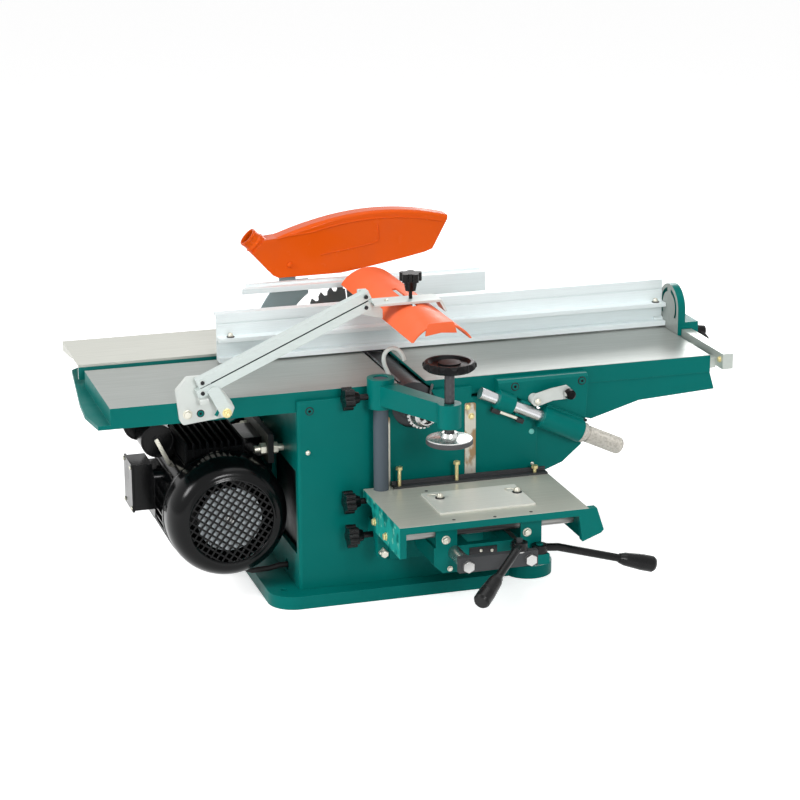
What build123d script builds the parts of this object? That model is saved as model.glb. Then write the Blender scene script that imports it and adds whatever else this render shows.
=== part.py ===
from build123d import *
import math
import os

# Combination woodworking machine: jointer beds in front, saw table behind, drill chuck and mortising
# table on the near end of the same spindle. Millimetres. X runs along the beds to the infeed end,
# Y to the rear, Z up. X = 0 is the spindle axis and Y = 0 the middle of the beds. Heights are drawn from
# a datum FLOOR below the underside of the base; each part is set down by that much when it is written.

# Beds, spindle and body
BED_TOP = 375.0
BED_HALF = 117.0
BED_SKIN = 12.0
RIM_DEPTH = 35.0
RIM_WALL = 10.0
OUTFEED_END = -505.0
INFEED_END = 535.0
LIP_OUT, LIP_IN = -26.0, 22.0
LIP_BACK = 45.0
CUT_R = 39.0
SPINDLE_Z = BED_TOP - CUT_R
FRONT_Y = -125.0
REAR_Y = 125.0
PLATE = 12.0
WALL = 8.0
BODY_X0, BODY_X1 = -200.0, 216.0
BODY_TOP = BED_TOP - RIM_DEPTH
FLOOR, BASE_TOP = 12.0, 34.0
BASE_SKIN, BASE_RIM = 9.0, 12.0
LIP_TOP = 360.0
ANCHOR_X = (-225.0, 225.0)
ANCHOR_Y = 115.0
ANCHOR_R = 5.5
RUN = 0.05
GAP = 0.5

# Infeed slope and its adjusting screw
SLOPE = math.radians(25.0)
SCREW_TOP = Vector(107.0, -150.0, 355.0)
SCREW_DIR = Vector(math.cos(SLOPE), 0.0, -math.sin(SLOPE))
SCREW_R = 10.0
LOCK_PIN = (204.0, 334.5)
LOCK_FACE = -139.0
WAY_X0, WAY_X1 = 62.0, 206.0
WAY_Y0, WAY_Y1 = 75.0, 95.0
WAY_TOP = 322.0

# Spindle line
BLOCK_R = 36.5
BLOCK_HALF = 97.0
JOURNAL_R = 12.5
BEARING_R = 26.0
HOUSING_R = 38.0
SAW_Y = 245.0
SAW_R = 125.0
SAW_T = 2.6
SAW_TEETH = 40
BELT_Y = (154.0, 170.0)
PULLEY_Y0, PULLEY_Y1 = 146.0, 178.0
SPINDLE_PULLEY_R = 32.0
MOTOR_PULLEY_R = 45.0

# Motor
MOTOR_X, MOTOR_Z = -309.0, 160.0
MOTOR_FRONT, STATOR_FRONT = -110.0, -40.0
STATOR_REAR, MOTOR_REAR = 112.0, 135.0
MOTOR_R = 98.0
FIN_R = 103.0
FINS = 40
GRILLE_R = 68.0
GRILLE_PITCH = 10.3
GRILLE_HOLE = 7.4
BOX_X = -412.0
LEAD = (-275.0, -20.0)

# Jointer fence
FENCE_X0, FENCE_X1 = -280.0, 536.0
FENCE_FRONT, FENCE_WEB = 81.0, 100.0
FENCE_BACK = 105.0
FENCE_LOW, FENCE_TOP = BED_TOP + 3.6, 459.0
FENCE_PIVOT = (100.0, 386.5)
BAR_X0, BAR_X1 = 545.0, 564.0
BAR_Z0, BAR_Z1 = 356.0, 383.0
BAR_CLAMP = (60.0, 370.0)

# Bridge guard
ARM_PIVOT = (-359.5, 394.8)
ARM_RISE = math.radians(23.7)
ARM_LENGTH = 298.0
ARM_SPACING = 17.4
ARM_HEIGHT = 14.5
ARM_Y0, ARM_Y1 = -143.0, -126.0
TAIL_BOLT = (-321.0, 359.0)
GUARD_Y0, GUARD_Y1 = -274.0, 136.0
GUARD_EDGE, GUARD_CROWN = 485.0, 513.0
HEAD_X, HEAD_Y, HEAD_Z = -5.0, -124.0, 514.5
HEAD_TOP = HEAD_Z + 4.0
GUARD_STEM_R = 3.0

# Saw table
SAW_TOP = 381.0
SAW_X0, SAW_X1 = -512.0, 428.0
SAW_Y0, SAW_Y1 = 135.0, 298.0
SAW_SKIN, SAW_SKIRT = 8.0, 26.0
SHIELD_Y0, SHIELD_Y1 = 226.0, 264.0
KNIFE_PIVOT = (-118.0, 505.0)
PORT = (-189.0, 557.0)
PORT_RISE = math.radians(42.0)
PORT_R = 17.0

# Mortising unit
TABLE_X0, TABLE_X1 = -93.0, 226.0
TABLE_Y0, TABLE_Y1 = -345.0, -140.0
TABLE_TOP = 205.0
SKIRT = 11.0
ROD_R, ROD_Z = 8.0, 175.0
ROD_Y = (-299.0, -220.0)
BAR_R, BAR_Z = 11.0, 142.0
BAR_X = (10.0, 115.0)
BAR_FRONT = -364.0
COLUMN = (-65.0, -150.0)
COLUMN_R = 12.5
COLUMN_KNOB_Z = 188.0
CLAMP = (4.0, -300.0)
CLAMP_R = 8.0
KNOB_STEM_R = 5.0


def block(x0, x1, y0, y1, z0, z1):
    """Rectangular solid between two corners."""
    corner = (Align.MIN, Align.MIN, Align.MIN)
    return Pos(x0, y0, z0) * Box(x1 - x0, y1 - y0, z1 - z0, align=corner)


def prism_x(points, x0, x1):
    """Outline in Y and Z, carried along X."""
    return extrude(make_face(Polyline([(x0, y, z) for y, z in points], close=True)), x1 - x0, (1, 0, 0))


def prism_y(points, y0, y1):
    """Outline in X and Z, carried along Y."""
    return extrude(make_face(Polyline([(x, y0, z) for x, z in points], close=True)), y1 - y0, (0, 1, 0))


def prism_z(points, z0, z1):
    """Outline in X and Y, carried along Z."""
    return extrude(make_face(Polyline([(x, y, z0) for x, y in points], close=True)), z1 - z0, (0, 0, 1))


def rod(start, direction, radius, length):
    """Round bar from its start point along a direction."""
    base = (Align.CENTER, Align.CENTER, Align.MIN)
    return Plane(origin=start, z_dir=direction) * Cylinder(radius, length, align=base)


def rod_x(x0, x1, y, z, radius):
    return rod((x0, y, z), (1, 0, 0), radius, x1 - x0)


def rod_y(y0, y1, x, z, radius):
    return rod((x, y0, z), (0, 1, 0), radius, y1 - y0)


def rod_z(z0, z1, x, y, radius):
    return rod((x, y, z0), (0, 0, 1), radius, z1 - z0)


def turned(profile, origin, direction):
    """Lathe shape from (height, radius) pairs along an axis."""
    first, last = profile[0][0], profile[-1][0]
    points = [(0, 0, first)] + [(r, 0, h) for h, r in profile] + [(0, 0, last)]
    return Plane(origin=origin, z_dir=direction) * revolve(make_face(Polyline(points, close=True)), Axis.Z)


def sketch_y(sketch, x, z, y0, y1):
    """Flat sketch whose X and Y lie along X and Z, carried along Y."""
    plane = Plane(origin=(x, y0, z), x_dir=(1, 0, 0), z_dir=(0, -1, 0))
    return extrude(plane * sketch, y1 - y0, (0, 1, 0))


def sketch_z(sketch, z0, z1):
    """Flat sketch in X and Y, carried along Z."""
    return extrude(Pos(0, 0, z0) * sketch, z1 - z0, (0, 0, 1))


def sketch_along(sketch, origin, direction, length):
    """Flat sketch square to a direction, carried along it."""
    return Plane(origin=origin, z_dir=direction) * extrude(sketch, length)


def bent_rod(points, bend, radius):
    """Round bar that follows a polyline with rounded corners."""
    path = FilletPolyline(*points, radius=bend)
    return sweep(Plane(origin=path @ 0, z_dir=path % 0) * Circle(radius), path)


def polar(count, radius):
    """Evenly spaced points on a circle, as angle and place."""
    for index in range(count):
        angle = 2 * math.pi * index / count
        yield angle, (radius * math.cos(angle), radius * math.sin(angle))


def star_knob(origin, direction, reach, radius=20.0, thick=16.0, lobes=5, neck=10.0, stem=KNOB_STEM_R):
    """Lobed hand knob on a plain stem; the stem starts at the origin."""
    outline = Circle(radius * 0.72)
    for _, (x, y) in polar(lobes, radius * 0.70):
        outline += Pos(x, y) * Circle(radius * 0.30)
    grip = Pos(0, 0, reach) * extrude(outline, thick)
    foot = (Align.CENTER, Align.CENTER, Align.MIN)
    collar = Pos(0, 0, reach - neck) * Cone(radius * 0.45, radius * 0.6, neck, align=foot)
    shank = Cylinder(stem, reach, align=foot)
    return Plane(origin=origin, z_dir=direction) * (grip + collar + shank)


def hex_head(origin, direction, flats, height):
    return sketch_along(RegularPolygon(flats / 2, 6, major_radius=False), origin, direction, height)


# Fixed frame


def base():
    """Base casting, hollow below, with a round foot at each right-hand corner and four anchor holes."""
    slab = Pos(-46.0, 0) * RectangleRounded(412.0, 314.0, 45.0)
    hollow = offset(slab, -BASE_RIM)
    outline = slab + Pos(160.0, 0) * Rectangle(124.0, 226.0)
    for side in (-1, 1):
        outline += Pos(212.0, side * 97.0) * Circle(42.0)
    body = sketch_z(outline, FLOOR, BASE_TOP) - sketch_z(hollow, FLOOR, BASE_TOP - BASE_SKIN)
    for x in ANCHOR_X:
        for y in (-ANCHOR_Y, ANCHOR_Y):
            body += rod_z(FLOOR, BASE_TOP, x, y, 2.2 * ANCHOR_R)
            body -= rod_z(FLOOR, BASE_TOP, x, y, ANCHOR_R)
    return body


def front_plate():
    """Front wall with a proud lip before the beds and a wing under the infeed screw."""
    wall = block(BODY_X0, BODY_X1, FRONT_Y, FRONT_Y + PLATE, BASE_TOP, BODY_TOP)
    lip = block(BODY_X0, 100.0, FRONT_Y, -BED_HALF - 1.0, BODY_TOP, LIP_TOP)
    plate = fillet(wall.edges().filter_by(Axis.Z).group_by(Axis.Y)[0].group_by(Axis.X)[0], 6.0)
    plate += fillet(lip.edges().filter_by(Axis.Z).group_by(Axis.Y)[0].group_by(Axis.X)[0], 6.0)
    wing = [(BODY_X1 - 6.0, 284.0), (302.0, 257.0), (297.0, 240.0), (264.0, 212.0), (BODY_X1 - 6.0, 192.0)]
    plate += prism_y(wing, FRONT_Y + 2.0, FRONT_Y + PLATE)
    return plate - rod_y(FRONT_Y, FRONT_Y + PLATE, 0.0, SPINDLE_Z, HOUSING_R)


def rear_plate():
    plate = block(BODY_X0, BODY_X1, REAR_Y - PLATE, REAR_Y, BASE_TOP, BODY_TOP)
    for x, low in ((-170.0, 250.0), (170.0, 150.0)):
        plate += block(x - 20.0, x + 20.0, REAR_Y, REAR_Y + 14.0, low, BODY_TOP)
    return plate - rod_y(REAR_Y - PLATE, REAR_Y, 0.0, SPINDLE_Z, HOUSING_R)


def side_plates():
    inner = FRONT_Y + PLATE
    left = block(BODY_X0, BODY_X0 + WALL, inner, -inner, BASE_TOP, BODY_TOP)
    left -= rod_x(BODY_X0, BODY_X0 + WALL, -40.0, 50.0, 10.0)
    left -= block(BODY_X0, BODY_X0 + WALL, -110.0, 50.0, 92.0, 238.0)
    right = block(BODY_X1 - WALL, BODY_X1, inner, -inner, BASE_TOP, BODY_TOP)
    right -= block(BODY_X1 - WALL, BODY_X1, -65.0, 65.0, 160.0, 225.0)
    return [left, right]


def way_height(x):
    return WAY_TOP - (x - WAY_X0) * math.tan(SLOPE)


def ways_casting():
    """Two sloping ways for the infeed table, with the chip chute cast between them."""
    low = 215.0
    outline = [(WAY_X0, low), (WAY_X1, low), (WAY_X1, way_height(WAY_X1)), (WAY_X0, WAY_TOP)]
    chute = [(-50.0, 262.0), (WAY_X1, 164.0), (WAY_X1, 168.0), (-50.0, 266.0)]
    body = prism_y(chute, -WAY_Y0, WAY_Y0)
    for side in (-1, 1):
        near, far = sorted((side * WAY_Y0, side * WAY_Y1))
        body += prism_y(outline, near, far)
        body += prism_y([(WAY_X0, 170.0), (WAY_X1, 150.0), (WAY_X1, low), (WAY_X0, low)], near, far)
        wing, wall = sorted((side * WAY_Y1, side * (REAR_Y - PLATE)))
        body += block(WAY_X0, WAY_X1, wing, wall, low, low + 14.0)
    return body


def bed_lip(edge, back):
    """Thin lip of a bed beside the cutter block."""
    tip = edge + math.copysign(2.0, back - edge)
    points = [(edge, BED_TOP), (edge, BED_TOP - 4.5), (tip, BED_TOP - 5.5), (back, BED_TOP - 21.0),
              (back, BED_TOP)]
    return prism_y(points, -BED_HALF, BED_HALF)


def outfeed_table():
    """Fixed bed: a ribbed casting, open below."""
    x0, x1 = OUTFEED_END, -LIP_BACK
    low = BODY_TOP
    body = block(x0, x1, -BED_HALF, BED_HALF, low, BED_TOP)
    inner = BED_HALF - RIM_WALL
    for a, b in ((x0 + RIM_WALL, -355.0), (-345.0, -206.0), (-196.0, x1 - RIM_WALL)):
        body -= block(a, b, -inner, inner, low, BED_TOP - BED_SKIN)
    ledge = [(x0 + 4.0, -BED_HALF), (x0 - 20.0, -BED_HALF), (x0 - 29.0, -45.0), (x0 - 25.0, 27.0),
             (x0 - 3.5, 229.0), (x0 + 15.0, 248.0), (x0 + 30.0, 248.0), (x0 + 30.0, BED_HALF - 4.0),
             (x0 + 4.0, BED_HALF - 4.0)]
    return body + bed_lip(LIP_OUT, x1) + prism_z(ledge, low, low + 7.0)


def bearing_housings():
    """Front and rear bearing housings with their bearings."""
    made = []
    for y0, y1, b0 in ((-118.0, -101.0, -117.0), (101.0, 131.0, 108.0)):
        body = rod_y(y0, y1, 0.0, SPINDLE_Z, HOUSING_R)
        made.append(body - rod_y(y0, y1, 0.0, SPINDLE_Z, BEARING_R))
        b1 = b0 + 15.0
        ring = rod_y(b0, b1, 0.0, SPINDLE_Z, BEARING_R - 0.02)
        ring -= rod_y(b0, b1, 0.0, SPINDLE_Z, JOURNAL_R + RUN)
        groove = rod_y(b0, b0 + 1.5, 0.0, SPINDLE_Z, 22.0) - rod_y(b0, b0 + 1.5, 0.0, SPINDLE_Z, 17.0)
        made.append(ring - groove)
    return made


def on_screw(distance):
    return SCREW_TOP + SCREW_DIR * distance


def adjuster_nut():
    """Half nut on the front plate that bears on the rear of the infeed screw."""
    body = rod(on_screw(74.0), SCREW_DIR, 14.0, 18.0)
    body -= block(100.0, 260.0, -200.0, SCREW_TOP.Y, 250.0, 400.0)
    body += block(173.0, 191.0, -141.0, FRONT_Y, 298.0, 320.0)
    return body - rod(on_screw(0.0), SCREW_DIR, SCREW_R + RUN, 140.0)


def motor_plate():
    """Motor bracket plate with its two tension studs and their nuts."""
    plate = block(-230.0, -220.0, -45.0, 125.0, 234.0, 284.0)
    made = []
    for y in (-28.0, 108.0):
        plate -= rod_x(-230.0, -220.0, y, 255.0, 6.5)
        stud = rod_x(-250.0, BODY_X0, y, 255.0, 6.0)
        stud += hex_head((-240.0, y, 255.0), (1, 0, 0), 18.0, 10.0)
        stud += hex_head((-220.0, y, 255.0), (1, 0, 0), 18.0, 10.0)
        made.append(stud)
    return [plate] + made


def motor_housing():
    """Finned stator frame with both end shields and the bracket foot."""
    outline = Circle(MOTOR_R)
    for angle, (x, y) in polar(FINS, (MOTOR_R + FIN_R) / 2):
        outline += Pos(x, y) * Rot(0, 0, math.degrees(angle)) * Rectangle(FIN_R - MOTOR_R + 4.0, 2.6)
    outline &= Circle(FIN_R)
    body = sketch_y(outline, MOTOR_X, MOTOR_Z, STATOR_FRONT, STATOR_REAR)
    body += block(-262.0, -230.0, 0.0, 84.0, 234.0, 268.0)
    pad = block(BOX_X, MOTOR_X - 66.0, 18.0, 104.0, 132.0, 218.0)
    body += fillet(pad.edges().filter_by(Axis.X), 14.0)
    body += rod_z(56.0, 90.0, LEAD[0], LEAD[1], 8.0)
    rear = [(STATOR_REAR, MOTOR_R), (STATOR_REAR + 12.0, MOTOR_R - 4.0), (MOTOR_REAR, 48.0)]
    body += turned(rear, (MOTOR_X, 0.0, MOTOR_Z), (0, 1, 0))
    front = [(STATOR_FRONT - 16.0, 40.0), (STATOR_FRONT - 8.0, MOTOR_R - 6.0), (STATOR_FRONT, MOTOR_R)]
    body += turned(front, (MOTOR_X, 0.0, MOTOR_Z), (0, 1, 0))
    return body - rod_y(-60.0, MOTOR_REAR, MOTOR_X, MOTOR_Z, 14.0)


def fan_cover():
    """Bowl over the cooling fan, its sunk face pierced by a square grid."""
    y = MOTOR_FRONT
    outer = [(y + 4.0, 70.0), (y + 4.0, 72.0), (y, 75.0), (y + 3.0, 79.0), (y + 20.0, 93.0),
             (y + 44.0, 100.5), (STATOR_FRONT, FIN_R)]
    inner = [(y + 7.0, 72.0), (y + 10.0, 78.0), (y + 22.0, 90.0), (y + 46.0, 97.5),
             (STATOR_FRONT, FIN_R - 3.0)]
    axis = (MOTOR_X, 0, MOTOR_Z)
    body = turned(outer, axis, (0, 1, 0)) - turned(inner, axis, (0, 1, 0))
    holes = Sketch()
    half = int(GRILLE_R / GRILLE_PITCH)
    for i in range(-half, half + 1):
        for j in range(-half, half + 1):
            far = math.hypot(i, j) * GRILLE_PITCH + GRILLE_HOLE * 0.6
            if far < GRILLE_R:
                holes += Pos(i * GRILLE_PITCH, j * GRILLE_PITCH) * Rectangle(GRILLE_HOLE, GRILLE_HOLE)
    return body - sketch_y(Rot(0, 0, 54.0) * holes, MOTOR_X, MOTOR_Z, y, y + 9.0)


def motor_electrics():
    """Terminal box with its lid, and two capacitors, each on a leg from the motor."""
    case = block(BOX_X - 32.0, BOX_X, 30.0, 94.0, 148.0, 228.0)
    lid = block(BOX_X - 36.0, BOX_X - 32.0, 28.0, 96.0, 146.0, 230.0)
    made = [case, lid]
    for x, z, radius, y0, y1 in ((-401.0, 267.0, 28.5, 30.0, 78.0), (-422.0, 283.0, 27.0, 80.0, 140.0)):
        angle = math.degrees(math.atan2(z - MOTOR_Z, x - MOTOR_X))
        reach = math.hypot(z - MOTOR_Z, x - MOTOR_X) - radius + 8.0
        leg = Rot(0, 0, angle) * Pos(reach / 2, 0) * Rectangle(reach, 26.0) - Circle(FIN_R)
        sunk = rod_y(y0, y0 + 1.5, x, z, radius - 3.0) - rod_y(y0, y0 + 1.5, x, z, 9.0)
        can = rod_y(y0, y1, x, z, radius) - sunk
        made.append(can + sketch_y(leg, MOTOR_X, MOTOR_Z, y0 + 10.0, y1 - 10.0))
    return made


def belt_loop(extra):
    """Outline around both pulleys, a given distance outside them."""
    run = math.hypot(MOTOR_X, SPINDLE_Z - MOTOR_Z)
    tilt = math.degrees(math.atan2(MOTOR_Z - SPINDLE_Z, MOTOR_X))
    small, large = Circle(SPINDLE_PULLEY_R + extra), Pos(run, 0) * Circle(MOTOR_PULLEY_R + extra)
    return Rot(0, 0, tilt) * make_hull([*small.edges(), *large.edges()])


def drive_belts():
    """Two V-belts between the motor pulley and the spindle pulley."""
    band = belt_loop(0.0) - belt_loop(-6.5)
    return [sketch_y(band, 0.0, SPINDLE_Z, y - 4.5, y + 4.5) for y in BELT_Y]


def belt_guard():
    """Sheet cover over the belts, open on the body side, with one fixing tab."""
    body = sketch_y(belt_loop(13.0), 0.0, SPINDLE_Z, 139.5, 184.0)
    body += block(-196.0, -176.0, REAR_Y, 150.0, 156.0, 186.0)
    body -= sketch_y(belt_loop(11.0), 0.0, SPINDLE_Z, 120.0, 182.0)
    return body - block(-62.0, 100.0, 120.0, 200.0, 200.0, 420.0)


def motor_lead():
    """Motor cable, from the gland under the motor into the body."""
    x, y = LEAD
    points = [(x, y, 56.0), (x, y, 46.0), (x + 16.0, y - 8.0, 41.0), (-228.0, -38.0, 46.0),
              (-214.0, -40.0, 50.0), (-190.0, -40.0, 50.0)]
    return bent_rod(points, 6.0, 4.5)


def bridge_bracket():
    """Pale bracket on the outfeed rim that carries the two guard arms."""
    points = [(-399.5, 397.0), (-380.6, 418.0), (-346.0, 418.0), (-330.6, 403.6), (-309.0, 373.0),
              (-303.5, 360.5), (-309.0, 347.0), (-389.0, 338.6), (-393.8, 346.4)]
    body = prism_y(points, -BED_HALF - 8.0, -BED_HALF)
    body = fillet(body.edges().filter_by(Axis.Y), 5.0)
    for z in (ARM_PIVOT[1], ARM_PIVOT[1] + ARM_SPACING):
        body += rod_y(ARM_Y0 - 2.0, -BED_HALF - 8.0, ARM_PIVOT[0], z, 4.0)
    slot = Rot(0, 0, 47.0) * SlotOverall(19.0, 9.0)
    return body - sketch_y(slot, TAIL_BOLT[0] + 1.2, TAIL_BOLT[1] + 1.3, -BED_HALF - 8.0, -BED_HALF)


def slot_hook():
    """White bent rod that arches over the front end of the cutter slot."""
    y = -BED_HALF - 4.5
    points = [(-37.0, y, LIP_TOP), (-37.0, y, 382.0), (-48.0, y, 412.0), (-42.0, y, 431.0), (-24.0, y, 429.0),
              (-16.0, y, 415.0)]
    return bent_rod(points, 8.0, 3.5)


def gib_straps():
    """Vertical keeper straps of the mortising slide, on the front plate."""
    made = []
    for x0, x1, low, top in ((-49.0, -42.4, 178.0, 321.0), (88.0, 107.0, 62.0, 332.0)):
        strap = block(x0, x1, FRONT_Y - 2.5, FRONT_Y, low, top)
        made.append(fillet(strap.edges().filter_by(Axis.Y).group_by(Axis.Z)[-1], 3.0))
    return made


# Spindle


def spindle_shaft():
    """Stepped shaft with the blade flanges and nut on its rear end."""
    steps = [(-158.0, 9.0), (-134.0, 9.0), (-134.0, JOURNAL_R), (-99.0, JOURNAL_R), (-99.0, 15.0),
             (99.0, 15.0), (99.0, JOURNAL_R), (134.0, JOURNAL_R), (134.0, 12.0), (270.0, 12.0)]
    shaft = turned(steps, (0, 0, SPINDLE_Z), (0, 1, 0))
    half = SAW_T / 2
    seat = (0, SAW_Y, SPINDLE_Z)
    spigot = [(-9.0 - half, 20.0), (-5.0 - half, 32.0), (-half, 32.0), (-half, 14.9), (half, 14.9)]
    near = turned(spigot, seat, (0, 1, 0))
    far = turned([(half + 0.1, 32.0), (5.0 + half, 32.0), (8.0 + half, 24.0)], seat, (0, 1, 0))
    nut = hex_head((0, SAW_Y + half + 8.1, SPINDLE_Z), (0, 1, 0), 32.0, 12.0)
    hole = rod_y(180.0, 280.0, 0, SPINDLE_Z, 12.02)
    return [shaft, near - hole, far - hole, nut - hole]


KNIVES = 3


def knife_slot():
    """Section of one knife pocket, for the knife at the top of the block."""
    return Pos(-2.0, BLOCK_R - 9.0) * Rectangle(15.0, 24.0)


def cutter_block():
    outline = Circle(BLOCK_R)
    for index in range(KNIVES):
        outline -= Rot(0, 0, 360.0 * index / KNIVES + 30.0) * knife_slot()
    body = sketch_y(outline, 0, SPINDLE_Z, -BLOCK_HALF, BLOCK_HALF)
    return body - rod_y(-BLOCK_HALF, BLOCK_HALF, 0, SPINDLE_Z, 15.02)


def planer_knives():
    """Each pocket holds a knife and the wedge that locks it."""
    knife = Pos(3.7, BLOCK_R - 9.2) * Rectangle(3.0, 22.0)
    edge = make_face(Polyline((2.2, BLOCK_R + 1.8), (5.2, BLOCK_R - 0.4), (2.2, BLOCK_R - 0.4), close=True))
    wedge = Pos(-2.6, BLOCK_R - 12.5) * Rectangle(9.2, 16.0)
    made = []
    for index in range(KNIVES):
        turn = Rot(0, 0, 360.0 * index / KNIVES + 30.0)
        made.append(sketch_y(turn * (knife + edge), 0, SPINDLE_Z, -BLOCK_HALF + 1.0, BLOCK_HALF - 1.0))
        made.append(sketch_y(turn * wedge, 0, SPINDLE_Z, -BLOCK_HALF + 2.0, BLOCK_HALF - 2.0))
    return made


def grooved_pulley(radius, x, z, bore):
    """Pulley with one V-groove under each belt."""
    profile = [(PULLEY_Y0, radius)]
    for y in BELT_Y:
        profile += [(y - 6.0, radius), (y - 5.2, radius - 7.5), (y + 5.2, radius - 7.5), (y + 6.0, radius)]
    profile += [(PULLEY_Y1, radius)]
    return turned(profile, (x, 0, z), (0, 1, 0)) - rod_y(PULLEY_Y0, PULLEY_Y1, x, z, bore)


def spindle_pulley():
    return grooved_pulley(SPINDLE_PULLEY_R, 0.0, SPINDLE_Z, 12.02)


def saw_blade():
    """Toothed disc with gullets, four expansion slots and a round arbor hole."""
    pitch = 2 * math.pi / SAW_TEETH
    points = []
    for index in range(SAW_TEETH):
        start = index * pitch
        for part, radius in ((0.0, SAW_R), (0.42, SAW_R - 4.5), (0.62, SAW_R - 11.0), (0.88, SAW_R - 9.5)):
            angle = start + part * pitch
            points.append((radius * math.cos(angle), radius * math.sin(angle)))
    disc = make_face(Polyline(points, close=True)) - Circle(15.0)
    for index in range(4):
        slot = Pos(SAW_R - 25.0, 0) * Rectangle(34.0, 2.2) + Pos(SAW_R - 42.0, 0) * Circle(3.5)
        disc -= Rot(0, 0, 90.0 * index + 5.6) * slot
    return sketch_y(disc, 0, SPINDLE_Z, SAW_Y - SAW_T / 2, SAW_Y + SAW_T / 2)


def drill_chuck():
    """Keyed chuck: body, toothed sleeve and three jaws."""
    z = SPINDLE_Z
    body = turned([(-166.0, 18.0), (-163.0, 20.0), (-140.0, 20.0), (-134.5, 15.0)], (0, 0, z), (0, 1, 0))
    body -= rod_y(-158.2, -134.0, 0, z, 9.02)
    ring = Circle(26.5)
    for angle, (x, y) in polar(24, 26.5):
        ring -= Pos(x, y) * Rot(0, 0, math.degrees(angle)) * Rectangle(5.0, 2.6)
    sleeve = sketch_y(ring, 0, z, -172.0, -166.2)
    sleeve += turned([(-196.0, 14.0), (-190.0, 18.5), (-176.0, 22.5), (-172.0, 22.5)], (0, 0, z), (0, 1, 0))
    sleeve -= rod_y(-196.0, -166.0, 0, z, 12.0)
    for angle, _ in polar(3, 1.0):
        key = Vector(math.cos(angle + 0.4), 0, math.sin(angle + 0.4))
        sleeve -= rod(Vector(0, -181.0, z) + key * 13.0, key, 3.0, 14.0)
    jaw = make_face(Polyline((4.0, -2.8), (11.8, -2.8), (11.8, 2.8), (4.0, 2.8), close=True)) - Circle(5.2)
    jaws = [sketch_y(Rot(0, 0, 120.0 * i + 90.0) * jaw, 0, z, -204.0, -168.0) for i in range(3)]
    return [body, sleeve] + jaws


# Motor rotor


def rotor_shaft():
    """Motor shaft with its rotor core and the drive pulley."""
    steps = [(MOTOR_FRONT + 12.0, 8.0), (STATOR_FRONT, 8.0), (STATOR_FRONT, 13.9), (MOTOR_REAR - 1.0, 13.9),
             (MOTOR_REAR - 1.0, 12.0), (180.0, 12.0)]
    shaft = turned(steps, (MOTOR_X, 0, MOTOR_Z), (0, 1, 0))
    return [shaft, grooved_pulley(MOTOR_PULLEY_R, MOTOR_X, MOTOR_Z, 12.02)]


def cooling_fan():
    """Fan with a flat disc towards the grille and straight radial blades behind it."""
    y0, y1 = MOTOR_FRONT + 16.0, MOTOR_FRONT + 40.0
    outline = Circle(18.0)
    for angle, (x, y) in polar(8, 34.0):
        outline += Pos(x, y) * Rot(0, 0, math.degrees(angle)) * Rectangle(36.0, 3.0)
    body = sketch_y(outline, MOTOR_X, MOTOR_Z, y0, y1)
    body += rod_y(y0, y0 + 3.0, MOTOR_X, MOTOR_Z, 54.0)
    return body - rod_y(y0 - 1.0, y1 + 1.0, MOTOR_X, MOTOR_Z, 8.02)


# Infeed table


def infeed_table():
    """Adjustable bed: skin, tapering side webs, end wall and the pads that ride on the ways."""
    x1 = INFEED_END
    low = BED_TOP - BED_SKIN
    rim = BODY_TOP + 5.0
    body = block(LIP_BACK, x1, -BED_HALF, BED_HALF, low, BED_TOP) + bed_lip(LIP_IN, LIP_BACK)
    web = [(230.0, low), (230.0, rim), (242.0, 302.0), (318.0, 281.0), (405.0, 306.0), (x1 + 9.0, 314.0),
           (x1, rim), (x1, low)]
    end = [(x1 - RIM_WALL, low), (x1 - RIM_WALL, rim), (x1 - 1.0, 314.0), (x1 + 9.0, 314.0), (x1, rim),
           (x1, low)]
    pad_x0, pad_x1 = WAY_X0 + 8.0, WAY_X1 - 6.0
    pad = [(pad_x0, low), (pad_x0, way_height(pad_x0) + GAP), (pad_x1, way_height(pad_x1) + GAP),
           (pad_x1, low)]
    for side in (-1, 1):
        near, far = sorted((side * (BED_HALF - RIM_WALL), side * (BED_HALF - 1.5)))
        body += prism_y(web, near, far)
        near, far = sorted((side * (BED_HALF - RIM_WALL), side * BED_HALF))
        body += block(LIP_BACK, x1, near, far, rim, low)
        near, far = sorted((side * WAY_Y0, side * WAY_Y1))
        body += prism_y(pad, near, far)
    inner = BED_HALF - RIM_WALL
    body += prism_y(end, -inner, inner)
    for x in (244.0, 380.0):
        body += block(x, x + RIM_WALL, -inner, inner, low - 22.0, low)
    return body


def adjuster_bracket():
    """Casting on the infeed rim: a plate, a boss around each end of the screw and the lock-lever pin."""
    face = LOCK_FACE
    plate = block(143.0, 302.0, face, -BED_HALF, 346.0, 369.0)
    plate = chamfer(plate.edges().filter_by(Axis.X).group_by(Axis.Z)[-1].sort_by(Axis.Y)[:1], 4.0)
    apron = [(140.0, 347.0), (140.0, 333.0), (158.0, 325.0), (166.0, 343.0), (222.0, 314.0), (298.0, 284.0),
             (302.0, 347.0)]
    body = plate + prism_y(apron, face, FRONT_Y - 1.5)
    body += prism_y([(138.0, 352.0), (134.0, 341.0), (160.0, 329.0), (164.0, 346.0)], SCREW_TOP.Y, face + 1.0)
    near, far = on_screw(122.0), on_screw(194.0)
    rise_x, rise_z = 22.0 * math.sin(SLOPE), 22.0 * math.cos(SLOPE)
    web = [(near.X, near.Z), (far.X, far.Z), (far.X + rise_x, far.Z + rise_z),
           (near.X + rise_x, near.Z + rise_z)]
    body += prism_y(web, SCREW_TOP.Y, face + 1.0)
    body += rod(on_screw(32.0), SCREW_DIR, 16.0, 30.0) + rod(on_screw(118.0), SCREW_DIR, 19.0, 78.0)
    body -= rod(on_screw(20.0), SCREW_DIR, SCREW_R + RUN, 200.0)
    body -= rod(on_screw(196.0), SCREW_DIR, 22.0, 40.0)
    return body + rod_y(-163.0, face, LOCK_PIN[0], LOCK_PIN[1], 4.0)


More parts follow.
